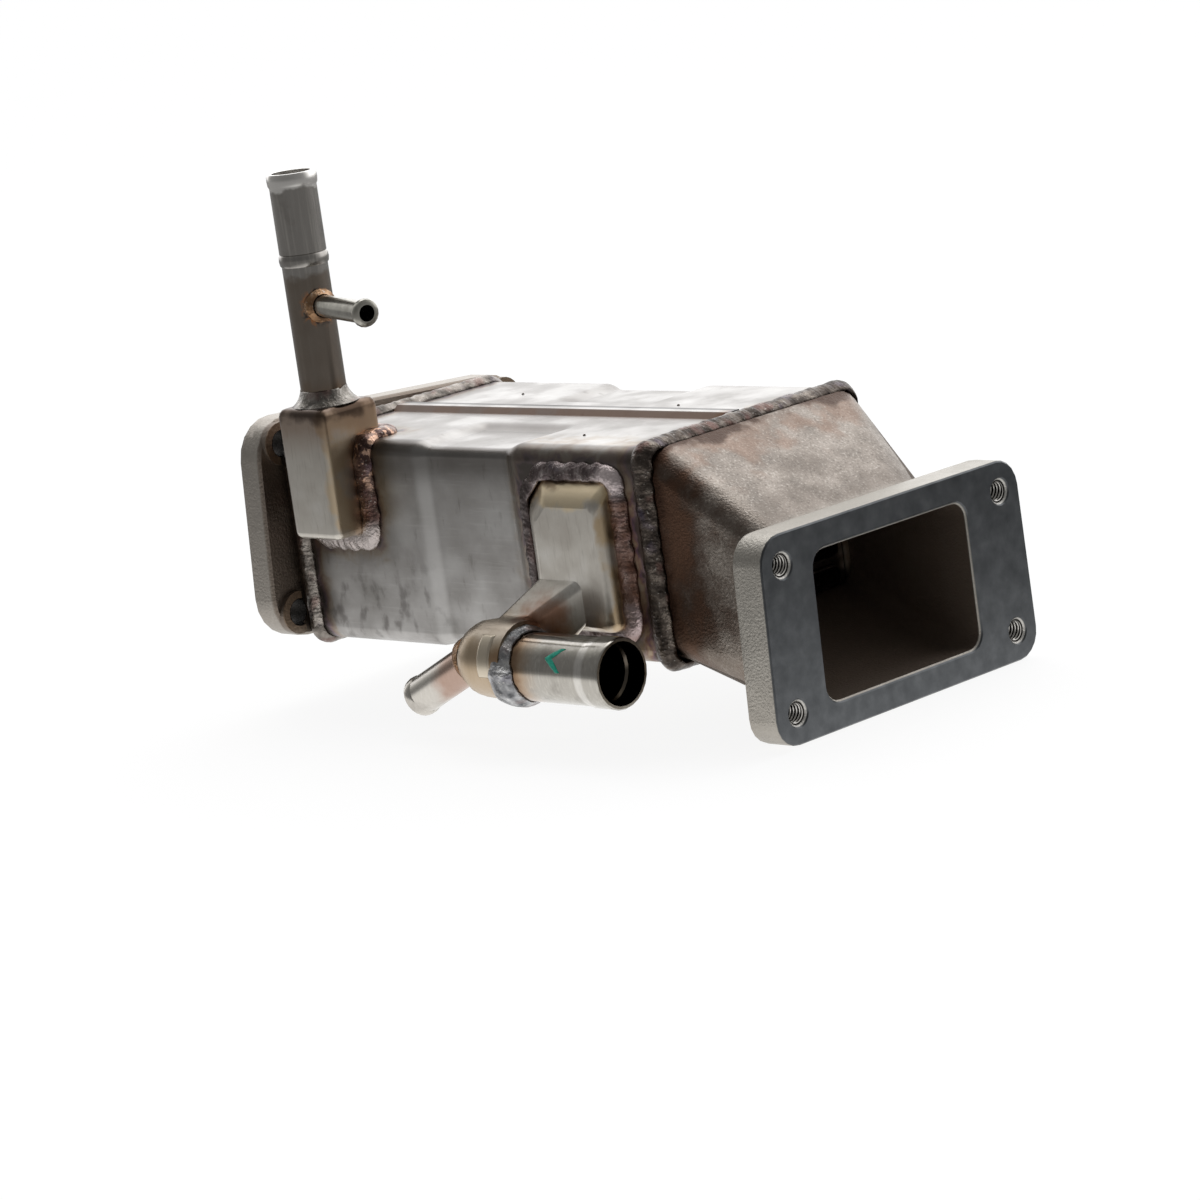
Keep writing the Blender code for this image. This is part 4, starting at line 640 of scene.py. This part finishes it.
def weld_bead(name, centre, toe_a, toe_b, crown, material, seed, lumps=1.0, ripples=0.06):
    """A bead along a closed path. A section goes from one toe to the other over a crown: straight line between
    the toes plus crown times a sine arch, with ripples that lag at the toes, lumps and wandering toes."""
    step = np.linalg.norm(np.roll(centre, -1, 0) - centre, axis=1)
    run = np.concatenate([[0], np.cumsum(step)[:-1]])
    length = step.sum()
    pitch = length / max(1, round(length / RIPPLE_PITCH))
    s, t = np.meshgrid(run, np.linspace(0, 1, BEAD_SECTION), indexing="ij")
    fade = np.sin(math.pi * t)
    loop = 2 * math.pi * s / length
    east, north = np.cos(loop), np.sin(loop)
    lump = waves(east * length / 6, north * 3 + t * 3, seed, 0.007) * 0.5
    lump += waves(north * length / 6, east * 3 + t * 2, seed + 1, 0.0035) * 0.5
    pool = (s / pitch - 0.35 * (2 * t - 1) ** 2 + 0.25 * waves(s, 0 * t, seed + 2, 0.02)) % 1.0
    ripple = np.sqrt(np.clip(1 - (2 * pool - 1) ** 2, 0, 1)) - 0.6
    height = fade**0.75 * (1 + 0.22 * lumps * lump) + ripples * lumps * fade**0.5 * ripple
    wander_a = 1 + 0.13 * lumps * waves(s, 0 * t, seed + 3, 0.009)
    wander_b = 1 + 0.13 * lumps * waves(s, 0 * t, seed + 4, 0.009)
    arc = (
        centre[:, None]
        + toe_a[:, None] * ((1 - t) * wander_a)[..., None]
        + toe_b[:, None] * (t * wander_b)[..., None]
        + crown[:, None] * height[..., None]
    )
    root = centre[:, None] - crown[:, None] * 0.12
    return grid_piece(name, np.concatenate([arc, root], 1), material)


def weld_metal(name, dark, mid, light, spots, own=None):
    """Weld metal under thin scale, from nearly black in the ripples to bright where the slag came off, with a
    bead's own colours last."""
    material, tree, shader, place = metal(name, 0.38)
    colour, patch = mottled(tree, place, 0.0042, ((0.30, dark), (0.78, light), (0.52, mid)), detail=6.0)
    fine = grain(tree, place, 0.0009, detail=4.0)
    hue = grain(tree, place, 0.008, detail=2.0)
    colour = laid(tree, colour, "75504A", 0.40, (hue, 0.55, 0.70))
    colour = laid(tree, colour, "5B5368", 0.30, (hue, 0.40, 0.28))
    colour = laid(tree, colour, "D9D4CC", 0.50, (fine, spots, spots + 0.16))
    if own:
        colour = own(tree, place, colour)
    tree.links.new(colour, shader.inputs["Base Color"])
    tree.links.new(overlap(tree, (patch, 0.3, 0.7, 0.46, 0.26)), shader.inputs["Roughness"])
    height = add(tree, "ShaderNodeMath", {0: fine, 1: patch}, operation="ADD").outputs[0]
    relief(tree, shader, height, 0.6, 0.0006)
    return material


def rounded_loop(half_y, half_z, radius, step):
    """Points and outward normals round a rounded rectangle in the YZ plane, by distance along it: a straight
    side and a quarter arc, four times."""
    straight_y, straight_z = 2 * (half_y - radius), 2 * (half_z - radius)
    bend = math.pi / 2 * radius
    total = 2 * (straight_y + straight_z) + 4 * bend
    s = np.arange(int(total / step)) / int(total / step) * total
    points = np.zeros((len(s), 2))
    normals = np.zeros((len(s), 2))
    start = 0.0
    sides = (
        (-half_y + radius, half_z - radius, straight_y, (1, 0)),
        (half_y - radius, half_z - radius, straight_z, (0, -1)),
        (half_y - radius, -half_z + radius, straight_y, (-1, 0)),
        (-half_y + radius, -half_z + radius, straight_z, (0, 1)),
    )
    for y, z, straight, way in sides:
        way = np.array(way)
        out = np.array((-way[1], way[0]))
        here = (s >= start) & (s < start + straight)
        points[here] = np.array((y, z)) + out * radius + way * (s[here] - start)[:, None]
        normals[here] = out
        end = np.array((y, z)) + way * straight
        start += straight
        here = (s >= start) & (s < start + bend)
        angle = (s[here] - start) / radius
        ray = out * np.cos(angle)[:, None] + way * np.sin(angle)[:, None]
        points[here] = end + ray * radius
        normals[here] = ray
        start += bend
    return points, normals


def collar_bead(name, jacket_end, side, back_reach, fore_reach, height, seed, material):
    """A bead round a jacket's end: one toe on the sheet, the other 0.4 mm lower on the casting."""
    points, normals = rounded_loop(JACKET_HALF_WIDTH, JACKET_HALF_HEIGHT, JACKET_ROUND, step=0.00028)
    centre = np.column_stack([np.full(len(points), jacket_end), points])
    out = np.column_stack([np.zeros(len(points)), normals])
    run = np.tile((side, 0.0, 0.0), (len(points), 1))
    toe_b = run * fore_reach - out * 0.0004
    return weld_bead(name, centre, -run * back_reach, toe_b, out * height, material, seed, lumps=0.8)


dark_weld = weld_metal("arc_weld_dark_scale", "302B28", "524A44", "857C73", 0.62)
bead = collar_bead("outlet_collar_bead", OUTLET_REACH, 1, 0.0040, 0.0044, 0.0027, 11, dark_weld)
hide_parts("outlet_collar_weld")
grey_weld = weld_metal("arc_weld_grey_scale", "5A5550", "857E77", "ADA69E", 0.62)
bead = collar_bead("inlet_collar_bead", -INLET_REACH, -1, 0.0038, 0.0033, 0.0026, 23, grey_weld)
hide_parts("inlet_collar_weld")


# --- Coolant inlet -----------------------------------------------------------------------------------------
# A box pressed from 1.5 mm sheet sits over the jacket's upper front edge, with the upright hose pipe and its
# small vent nipple. The heat of the welds has browned the box's top and its right side.
INLET_BOX_TINTS = (
    ("X", -0.0545, -0.0510, "CDB592", 0.75),
    ("Y", -0.0540, -0.0490, "A07E5C", 0.30),
    ("Z", 0.0280, 0.0420, "8A6E5A", 0.65),
    ("Z", 0.0415, 0.0460, "40332C", 0.85),
    # Painted highlight: this last row lightens the box's rounded lower edge.
    ("Z", 0.0085, 0.0045, "CFCBC2", 0.55),
)


def tinted_box(name, tints, burns=()):
    """Pressed stainless: grey beige in the middle, straw to brown towards the welds, with local burns."""
    material, tree, shader, place = metal(name, 0.34)
    shades = ((0.30, "BDB7AE"), (0.72, "D8D4CD"), (0.5, "CAC5BC"))
    colour, blotch = mottled(tree, place, 0.010, shades, detail=6.0)
    streak = grain(tree, place, 0.0008, (1.0, 1.0, 9.0), 2.0)
    colour = laid(tree, colour, "8E877C", 0.28, (streak, 0.50, 0.80))
    axes = add(tree, "ShaderNodeSeparateXYZ", {0: place})
    for axis, start, end, shade, share in tints:
        value = strayed(tree, axes.outputs[axis], blotch, 0.0025)
        colour = laid(tree, colour, shade, share, (value, start, end))
    for middle, reach, shade, share in burns:
        away = strayed(tree, away_from(tree, place, middle, middle), blotch, 0.0025)
        colour = laid(tree, colour, shade, share, (away, reach, reach * 0.3))
    tree.links.new(colour, shader.inputs["Base Color"])
    tree.links.new(overlap(tree, (blotch, 0.3, 0.7, 0.40, 0.30)), shader.inputs["Roughness"])
    relief(tree, shader, streak, 0.08, 0.0001)
    return material


dress("coolant_inlet_box", tinted_box("heat_tinted_pressed_inlet_box", INLET_BOX_TINTS))


def resampled(closed_points, *others, step=0.0003):
    """The same closed path at even steps, with every array that goes with it."""
    looped = np.vstack([closed_points, closed_points[:1]])
    length = np.concatenate([[0], np.cumsum(np.linalg.norm(np.diff(looped, axis=0), axis=1))])
    at = np.linspace(0, length[-1], int(length[-1] / step), endpoint=False)
    found = []
    for array in (closed_points, *others):
        ring = np.vstack([array, array[:1]])
        found.append(np.stack([np.interp(at, length, ring[:, axis]) for axis in range(3)], 1))
    return found


def unit(vectors):
    """Vectors at length 1."""
    return vectors / np.linalg.norm(vectors, axis=1)[:, None]


def fillet(name, path, spread, climb, bulge, material, seed, lumps=1.0, ripples=0.06):
    """A bead in the corner between a seat and a wall, whose normals go with the path's points: toes at the
    spread and the climb, arch between them."""
    points, seats, walls = resampled(*path)
    seats, walls = unit(seats), unit(walls)
    crown = unit(seats + walls) * bulge
    return weld_bead(name, points, walls * spread, seats * climb, crown, material, seed, lumps, ripples)


def inlet_box_path():
    """The corner between box and jacket, as points, seat normals and wall normals: from the middle of the
    box's foot by three quarter arcs, round its lower corner, over the jacket's edge and round its back corner,
    and by their mirror image back."""
    half, corner = 0.0109, 0.0024
    foot, behind = INLET_BOX_LOW[2], INLET_BOX_HIGH[1]
    seat_y, seat_z = -JACKET_HALF_WIDTH, JACKET_HALF_HEIGHT
    turn = np.radians((0, 30, 60, 90))
    sine, cosine, zero = np.sin(turn), np.cos(turn), np.zeros(4)
    lower = np.stack([sine, zero, -cosine], 1)
    over = np.stack([zero, -cosine, sine], 1)
    back_corner = np.stack([cosine, sine, zero], 1)
    ones = np.ones((4, 1))
    points = [
        np.array(((0.0, seat_y, foot),)),
        np.array((half - corner, seat_y, foot + corner)) + lower * corner,
        np.array((half, seat_y + JACKET_ROUND, seat_z - JACKET_ROUND)) + over * JACKET_ROUND,
        np.array((half - corner, behind - corner, seat_z)) + back_corner * corner,
    ]
    seats = [np.array(((0.0, -1.0, 0.0),)), ones * (0, -1, 0), over, ones * (0, 0, 1)]
    walls = [np.array(((0.0, 0.0, -1.0),)), lower, ones * (1, 0, 0), back_corner]
    path = [np.vstack(rows) for rows in (points, seats, walls)]
    path = [np.vstack([rows, rows[:0:-1] * (-1, 1, 1)]) for rows in path]
    path[0][:, 0] += (INLET_BOX_LOW[0] + INLET_BOX_HIGH[0]) / 2
    return path


def copper_drops(tree, place, colour):
    """Copper-coloured drops on the upper part of the bead, made bright there as painted glints, silver grey at
    its foot.
    """
    high = add(tree, "ShaderNodeSeparateXYZ", {0: place}).outputs["Z"]
    drops = grain(tree, place, 0.0026, detail=2.0)
    colour = laid(tree, colour, "E2BBA2", 0.75, (drops, 0.52, 0.62), (high, 0.0140, 0.0250))
    return laid(tree, colour, "C8C0BC", 0.75, (high, 0.0090, 0.0040))


copper_weld = weld_metal("arc_weld_copper_tint", "3A2C29", "66504A", "A08C80", 0.60, copper_drops)
bead = fillet("inlet_box_bead", inlet_box_path(), 0.0062, 0.0026, 0.0014, copper_weld, 31, lumps=1.3)
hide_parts("inlet_box_weld")

UPRIGHT_FOOT = (-0.0617, -0.0487, 0.0466)
UPRIGHT_RADIUS = 0.0077
silver_weld = weld_metal("arc_weld_silver", "5A5652", "8C8780", "C4BFB8", 0.60)
turn = np.linspace(0, 2 * math.pi, 96, endpoint=False)
ring = np.stack([np.cos(turn), np.sin(turn), 0 * turn], 1)
foot_path = (np.array(UPRIGHT_FOOT) + ring * UPRIGHT_RADIUS, np.tile((0.0, 0.0, 1.0), (len(turn), 1)), ring)
bead = fillet("inlet_pipe_bead", foot_path, 0.0034, 0.0050, -0.0007, silver_weld, 41, ripples=0.0)
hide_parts("inlet_pipe_weld")

# The upright is dark with heat above its foot and round the nipple, and bright towards its mouth.
UPRIGHT_BANDS = (
    ("Z", 0.0900, 0.0880, "74675A", 0.75),
    ("Z", 0.1170, 0.1182, "F0EDE8", 0.80),
    ("Z", 0.0560, 0.0500, "6E5640", 0.65),
)
NIPPLE_LOW = (-0.0553, -0.0518, 0.0775)
NIPPLE_HIGH = (-0.0533, -0.0498, 0.0795)


def drawn_tube(name, base, bands, roughness=0.26, own=None):
    """Drawn stainless tube: fine lines along it, darkened by heat in bands, with a tube's own colours last."""
    material, tree, shader, place = metal(name, roughness)
    streak = grain(tree, place, 0.0009, (1.0, 1.0, 30.0), 3.0)
    blotch = grain(tree, place, 0.008, detail=5.0)
    colour = laid(tree, linear(base), "D9D5CC", 0.25, (streak, 0.45, 0.75))
    colour = laid(tree, colour, "5A534C", 0.35, (blotch, 0.50, 0.75))
    axes = add(tree, "ShaderNodeSeparateXYZ", {0: place})
    for axis, start, end, shade, share in bands:
        value = strayed(tree, axes.outputs[axis], blotch, 0.0015)
        colour = laid(tree, colour, shade, share, (value, start, end))
    if own:
        colour = own(tree, place, colour)
    tree.links.new(colour, shader.inputs["Base Color"])
    relief(tree, shader, streak, 0.06, 0.0001)
    return material


def nipple_burn(tree, place, colour):
    """Copper spots round the nipple's root, and scale right beside it."""
    patchy = grain(tree, place, 0.0035)
    spot = strayed(tree, away_from(tree, place, NIPPLE_LOW, NIPPLE_HIGH), patchy, 0.0022)
    colour = laid(tree, colour, "B98055", 1.0, (spot, 0.0062, 0.0048), (patchy, 0.45, 0.58))
    return laid(tree, colour, "3E302C", 0.80, (spot, 0.0040, 0.0030))


dress("coolant_inlet_pipe", drawn_tube("drawn_stainless_upright", "9C9893", UPRIGHT_BANDS, own=nipple_burn))
dress("vent_nipple", drawn_tube("drawn_stainless_nipple", "A8A59C", ()))
braze_metal = weld_metal("silver_braze", "5A4636", "9C7A5C", "D0B090", 0.58)
dress("nipple_braze", braze_metal)
dress("bypass_braze", braze_metal)


# --- Coolant outlet ----------------------------------------------------------------------------------------
# A pressed box over the jacket's port, a slanting duct and a round head in one, with the large hose pipe
# welded into the head and the small bypass pipe in its domed end.
OUTLET_BOX_TINTS = (
    ("Z", 0.0150, 0.0185, "E8D4AE", 0.75),
    ("X", 0.0600, 0.0640, "AE9060", 0.70),
    ("Y", -0.0515, -0.0490, "6E5640", 0.70),
    ("Z", -0.0170, -0.0230, "A98F6C", 0.50),
    ("Y", -0.0630, -0.0690, "A58C6A", 0.45),
)
OUTLET_BOX_BURNS = (
    ((0.0415, -0.0640, -0.0165), 0.0105, "96603C", 0.75),
    ((0.0400, -0.0700, -0.0150), 0.0070, "5A3A2A", 0.70),
    ((0.0400, -0.0850, -0.0270), 0.0060, "8A6646", 0.60),
)
pressed_steel = tinted_box("heat_tinted_pressed_outlet_box", OUTLET_BOX_TINTS, OUTLET_BOX_BURNS)
dress("coolant_outlet_box", pressed_steel)


def outlet_box_path():
    """The foot of the outlet box on the jacket's front, as points, seat normals and wall normals: a rectangle
    with one corner cut off, and each corner rounded between the ends of its two sides."""
    left, right_side, top, foot, cut = 0.0268, 0.0642, 0.0248, -0.0230, 0.0070
    corners = ((right_side, foot), (right_side, top), (left + cut, top), (left, top - cut), (left, foot))
    corners = np.array(corners)
    radius = 0.0032
    share = np.linspace(0, 1, 7)[:, None]
    arcs, rays = [], []
    for here, last, following in zip(corners, np.roll(corners, 1, 0), np.roll(corners, -1, 0)):
        before, after = unit(np.array((last - here, following - here)))
        half = math.acos(np.clip(before @ after, -1, 1)) / 2
        middle = here + unit((before + after)[None])[0] * radius / math.sin(half)
        start = here + before * radius / math.tan(half) - middle
        end = here + after * radius / math.tan(half) - middle
        ray = unit(start * (1 - share) + end * share)
        arcs.append(middle + ray * radius)
        rays.append(ray)
    arcs, rays = np.vstack(arcs), np.vstack(rays)
    points = np.insert(arcs, 1, -JACKET_HALF_WIDTH, axis=1)
    walls = np.insert(rays, 1, 0.0, axis=1)
    # The box's walls lean, so the bead's toe on them leans too.
    return points, (0.0, -1.0, 0.0) - walls * 0.35, walls


BRIGHT_ENDS = (((0.0640, -0.0500, 0.0245), "EBDDDC"), ((0.0655, -0.0500, -0.0200), "E2D8DC"))


def blue_run(tree, place, colour):
    """Bright ends of the weld's last passes, dull scale on the left and copper brown on the right run."""
    axes = add(tree, "ShaderNodeSeparateXYZ", {0: place})
    along, high = axes.outputs["X"], axes.outputs["Z"]
    for middle, shade in BRIGHT_ENDS:
        colour = laid(tree, colour, shade, 0.75, (away_from(tree, place, middle, middle), 0.0070, 0.0030))
    colour = laid(tree, colour, "4A4341", 0.50, (along, 0.0320, 0.0270))
    return laid(tree, colour, "86604C", 0.45, (along, 0.0610, 0.0640), (high, 0.0200, 0.0160))


blue_weld = weld_metal("arc_weld_blue_tint", "38302F", "6C6160", "ACA3A1", 0.60, blue_run)
foot_path = outlet_box_path()
bead = fillet("outlet_box_bead", foot_path, 0.0047, 0.0028, 0.0012, blue_weld, 53, lumps=1.2, ripples=0.10)
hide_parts("outlet_box_weld")

HEAD_Y = -0.0730
HEAD_Z = -0.0275
HEAD_RADIUS = 0.0124
HEAD_END = 0.0410
PIPE_Z = -0.0292
PIPE_RADIUS = 0.0107
turn = np.linspace(0, 2 * math.pi, 220, endpoint=False)
ring = np.stack([0 * turn, np.cos(turn), np.sin(turn)], 1)
centre = np.array((HEAD_END, HEAD_Y, PIPE_Z)) + ring * (PIPE_RADIUS + 0.0002)
widening = (1 + 0.25 * np.sin(turn * 2 + 0.7))[:, None] * (1.0, 0.0, 0.0)
lumpy_weld = weld_metal("arc_weld_grey_lumps", "57585A", "9B9B9C", "E2E1DF", 0.58)
toe_a, toe_b, crown = -widening * 0.0044 + ring * 0.0012, widening * 0.0038, ring * 0.0013
bead = weld_bead("outlet_pipe_bead", centre, toe_a, toe_b, crown, lumpy_weld, 61, lumps=1.5, ripples=0.03)
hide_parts("outlet_pipe_weld")

OUTPIPE_BANDS = (
    ("X", 0.0560, 0.0450, "9A7750", 0.75),
    ("X", 0.0490, 0.0450, "5E4634", 0.60),
)
BYPASS_BANDS = (("X", 0.0010, 0.0090, "9A6A50", 0.60),)


def rubbed_mouth(tree, place, colour):
    """A brighter band where the end was formed, partly a painted highlight of the end, and a dark bore,
    painted shade inside the pipe.
    """
    along = add(tree, "ShaderNodeSeparateXYZ", {0: place}).outputs["X"]
    colour = laid(tree, colour, "F2EFEA", 0.38, (along, 0.0712, 0.0724), (along, 0.0762, 0.0748))
    away = away_from(tree, place, (-1, HEAD_Y, PIPE_Z), (1, HEAD_Y, PIPE_Z))
    return laid(tree, colour, "4A4034", 0.92, (away, 0.01015, 0.01005), (along, 0.0799, 0.0797))


large_tube = drawn_tube("drawn_stainless_outlet", "ABA79F", OUTPIPE_BANDS, roughness=0.16, own=rubbed_mouth)
dress("coolant_outlet_pipe", large_tube)
dress("bypass_pipe", drawn_tube("drawn_stainless_bypass", "C6C1B9", BYPASS_BANDS))

# The press leaves a small raised pad on the head, next to the weld, rubbed lighter than the rest.
PAD_START, PAD_END = 0.0318, 0.0372
PAD_FOOT, PAD_TOP = math.radians(-13.0), math.radians(52.0)
PAD_HEIGHT = 0.0003
PAD_TINTS = (("X", 0.0, 0.01, "C9BCA6", 0.75),)


def pad_grid():
    """A patch of the head's cylinder raised by a height that falls to nothing within its last share."""
    x, angle = np.meshgrid(np.linspace(PAD_START, PAD_END, 17), np.linspace(PAD_FOOT, PAD_TOP, 41))
    edge_x = np.minimum(x - PAD_START, PAD_END - x) / 0.0006
    edge_a = np.minimum(angle - PAD_FOOT, PAD_TOP - angle) / 0.05
    radius = HEAD_RADIUS + PAD_HEIGHT * np.clip(np.minimum(edge_x, edge_a), 0, 1)
    top = np.stack([x, HEAD_Y - radius * np.cos(angle), HEAD_Z + radius * np.sin(angle)], -1)
    low = HEAD_RADIUS - PAD_HEIGHT
    under = np.stack([x, HEAD_Y - low * np.cos(angle), HEAD_Z + low * np.sin(angle)], -1)[:, ::-1]
    return np.concatenate([top, under], 1)


def closed_ends(grid):
    """The same grid with each end row drawn together to its middle, which closes the piece."""
    first = grid[:1].mean(1, keepdims=True).repeat(grid.shape[1], 1)
    last = grid[-1:].mean(1, keepdims=True).repeat(grid.shape[1], 1)
    return np.concatenate([first, grid, last])


pad_steel = tinted_box("rubbed_pressed_pad", PAD_TINTS)
pad = grid_piece("head_pad", closed_ends(pad_grid()), pad_steel, wrap_rows=False)


# --- Inspection mark and spatter ---------------------------------------------------------------------------
# A green paint tick brushed on the large pipe, and the beads of spatter that the welder left on the sheet.
TICK_PLACES = (0.0652, 0.0604, 0.0650)
TICK_ANGLES = (52.0, 33.0, 10.0)
TICK_WIDTH = 0.0030
PAINT_GRAIN = 1 / 900
SPATTER_RADIUS = 0.0005
SPATTER_PLACES = ((0.0370, -0.0310), (0.0357, 0.0135), (-0.0470, 0.0250))


def marker_paint():
    """Glossy green marker paint, thin in places."""
    paint = bpy.data.materials.new("green_marker_paint")
    paint.use_nodes = True
    tree = paint.node_tree
    shader = tree.nodes["Principled BSDF"]
    shader.inputs["Roughness"].default_value = 0.35
    seat = add(tree, "ShaderNodeTexCoord").outputs["Object"]
    colour, _ = mottled(tree, seat, PAINT_GRAIN, ((0.3, "0E8F78"), (0.7, "2FB89C")))
    tree.links.new(colour, shader.inputs["Base Color"])
    return paint


def tick_grid():
    """A brush stroke on the pipe: a bent line of (x, angle round the pipe) widened along X, on a thin skin."""
    share = np.linspace(0, 2, 61)
    x = np.interp(share, (0, 1, 2), TICK_PLACES)
    angle = np.radians(np.interp(share, (0, 1, 2), TICK_ANGLES))[:, None]
    width = TICK_WIDTH * (0.55 + 0.45 * np.sin(math.pi * np.clip(share / 2, 0.08, 0.95)))
    across = np.linspace(-0.5, 0.5, 7)
    radius = PIPE_RADIUS + 0.00006 + 0.00010 * np.cos(math.pi * across)[None]
    drop, rise = -radius * np.cos(angle), radius * np.sin(angle)
    grid_x = x[:, None] + width[:, None] * across[None]
    top = np.stack([grid_x, HEAD_Y + drop, PIPE_Z + rise], -1)
    under = np.stack([grid_x, HEAD_Y + drop * 0.985, PIPE_Z + rise * 0.985], -1)[:, ::-1]
    return np.concatenate([top, under], 1)


def ball_grid(x, y, radius):
    """A bead of spatter sunk into the top sheet: latitude by longitude on a flattened sphere."""
    around, rise = np.linspace(0, 2 * math.pi, 12, endpoint=False), math.pi / 2 - 0.01
    a, b = np.meshgrid(around, np.linspace(-rise, rise, 8))
    z = JACKET_HALF_HEIGHT + radius * (0.8 * np.sin(b) + 0.3)
    return np.stack([x + radius * np.cos(b) * np.cos(a), y + radius * np.cos(b) * np.sin(a), z], -1)


tick = grid_piece("inspection_tick", closed_ends(tick_grid()), marker_paint(), wrap_rows=False)
for index, (x, y) in enumerate(SPATTER_PLACES):
    dome = ball_grid(x, y, SPATTER_RADIUS)
    ball = grid_piece("spatter_%d" % (index + 1), dome, dark_weld, wrap_rows=False)
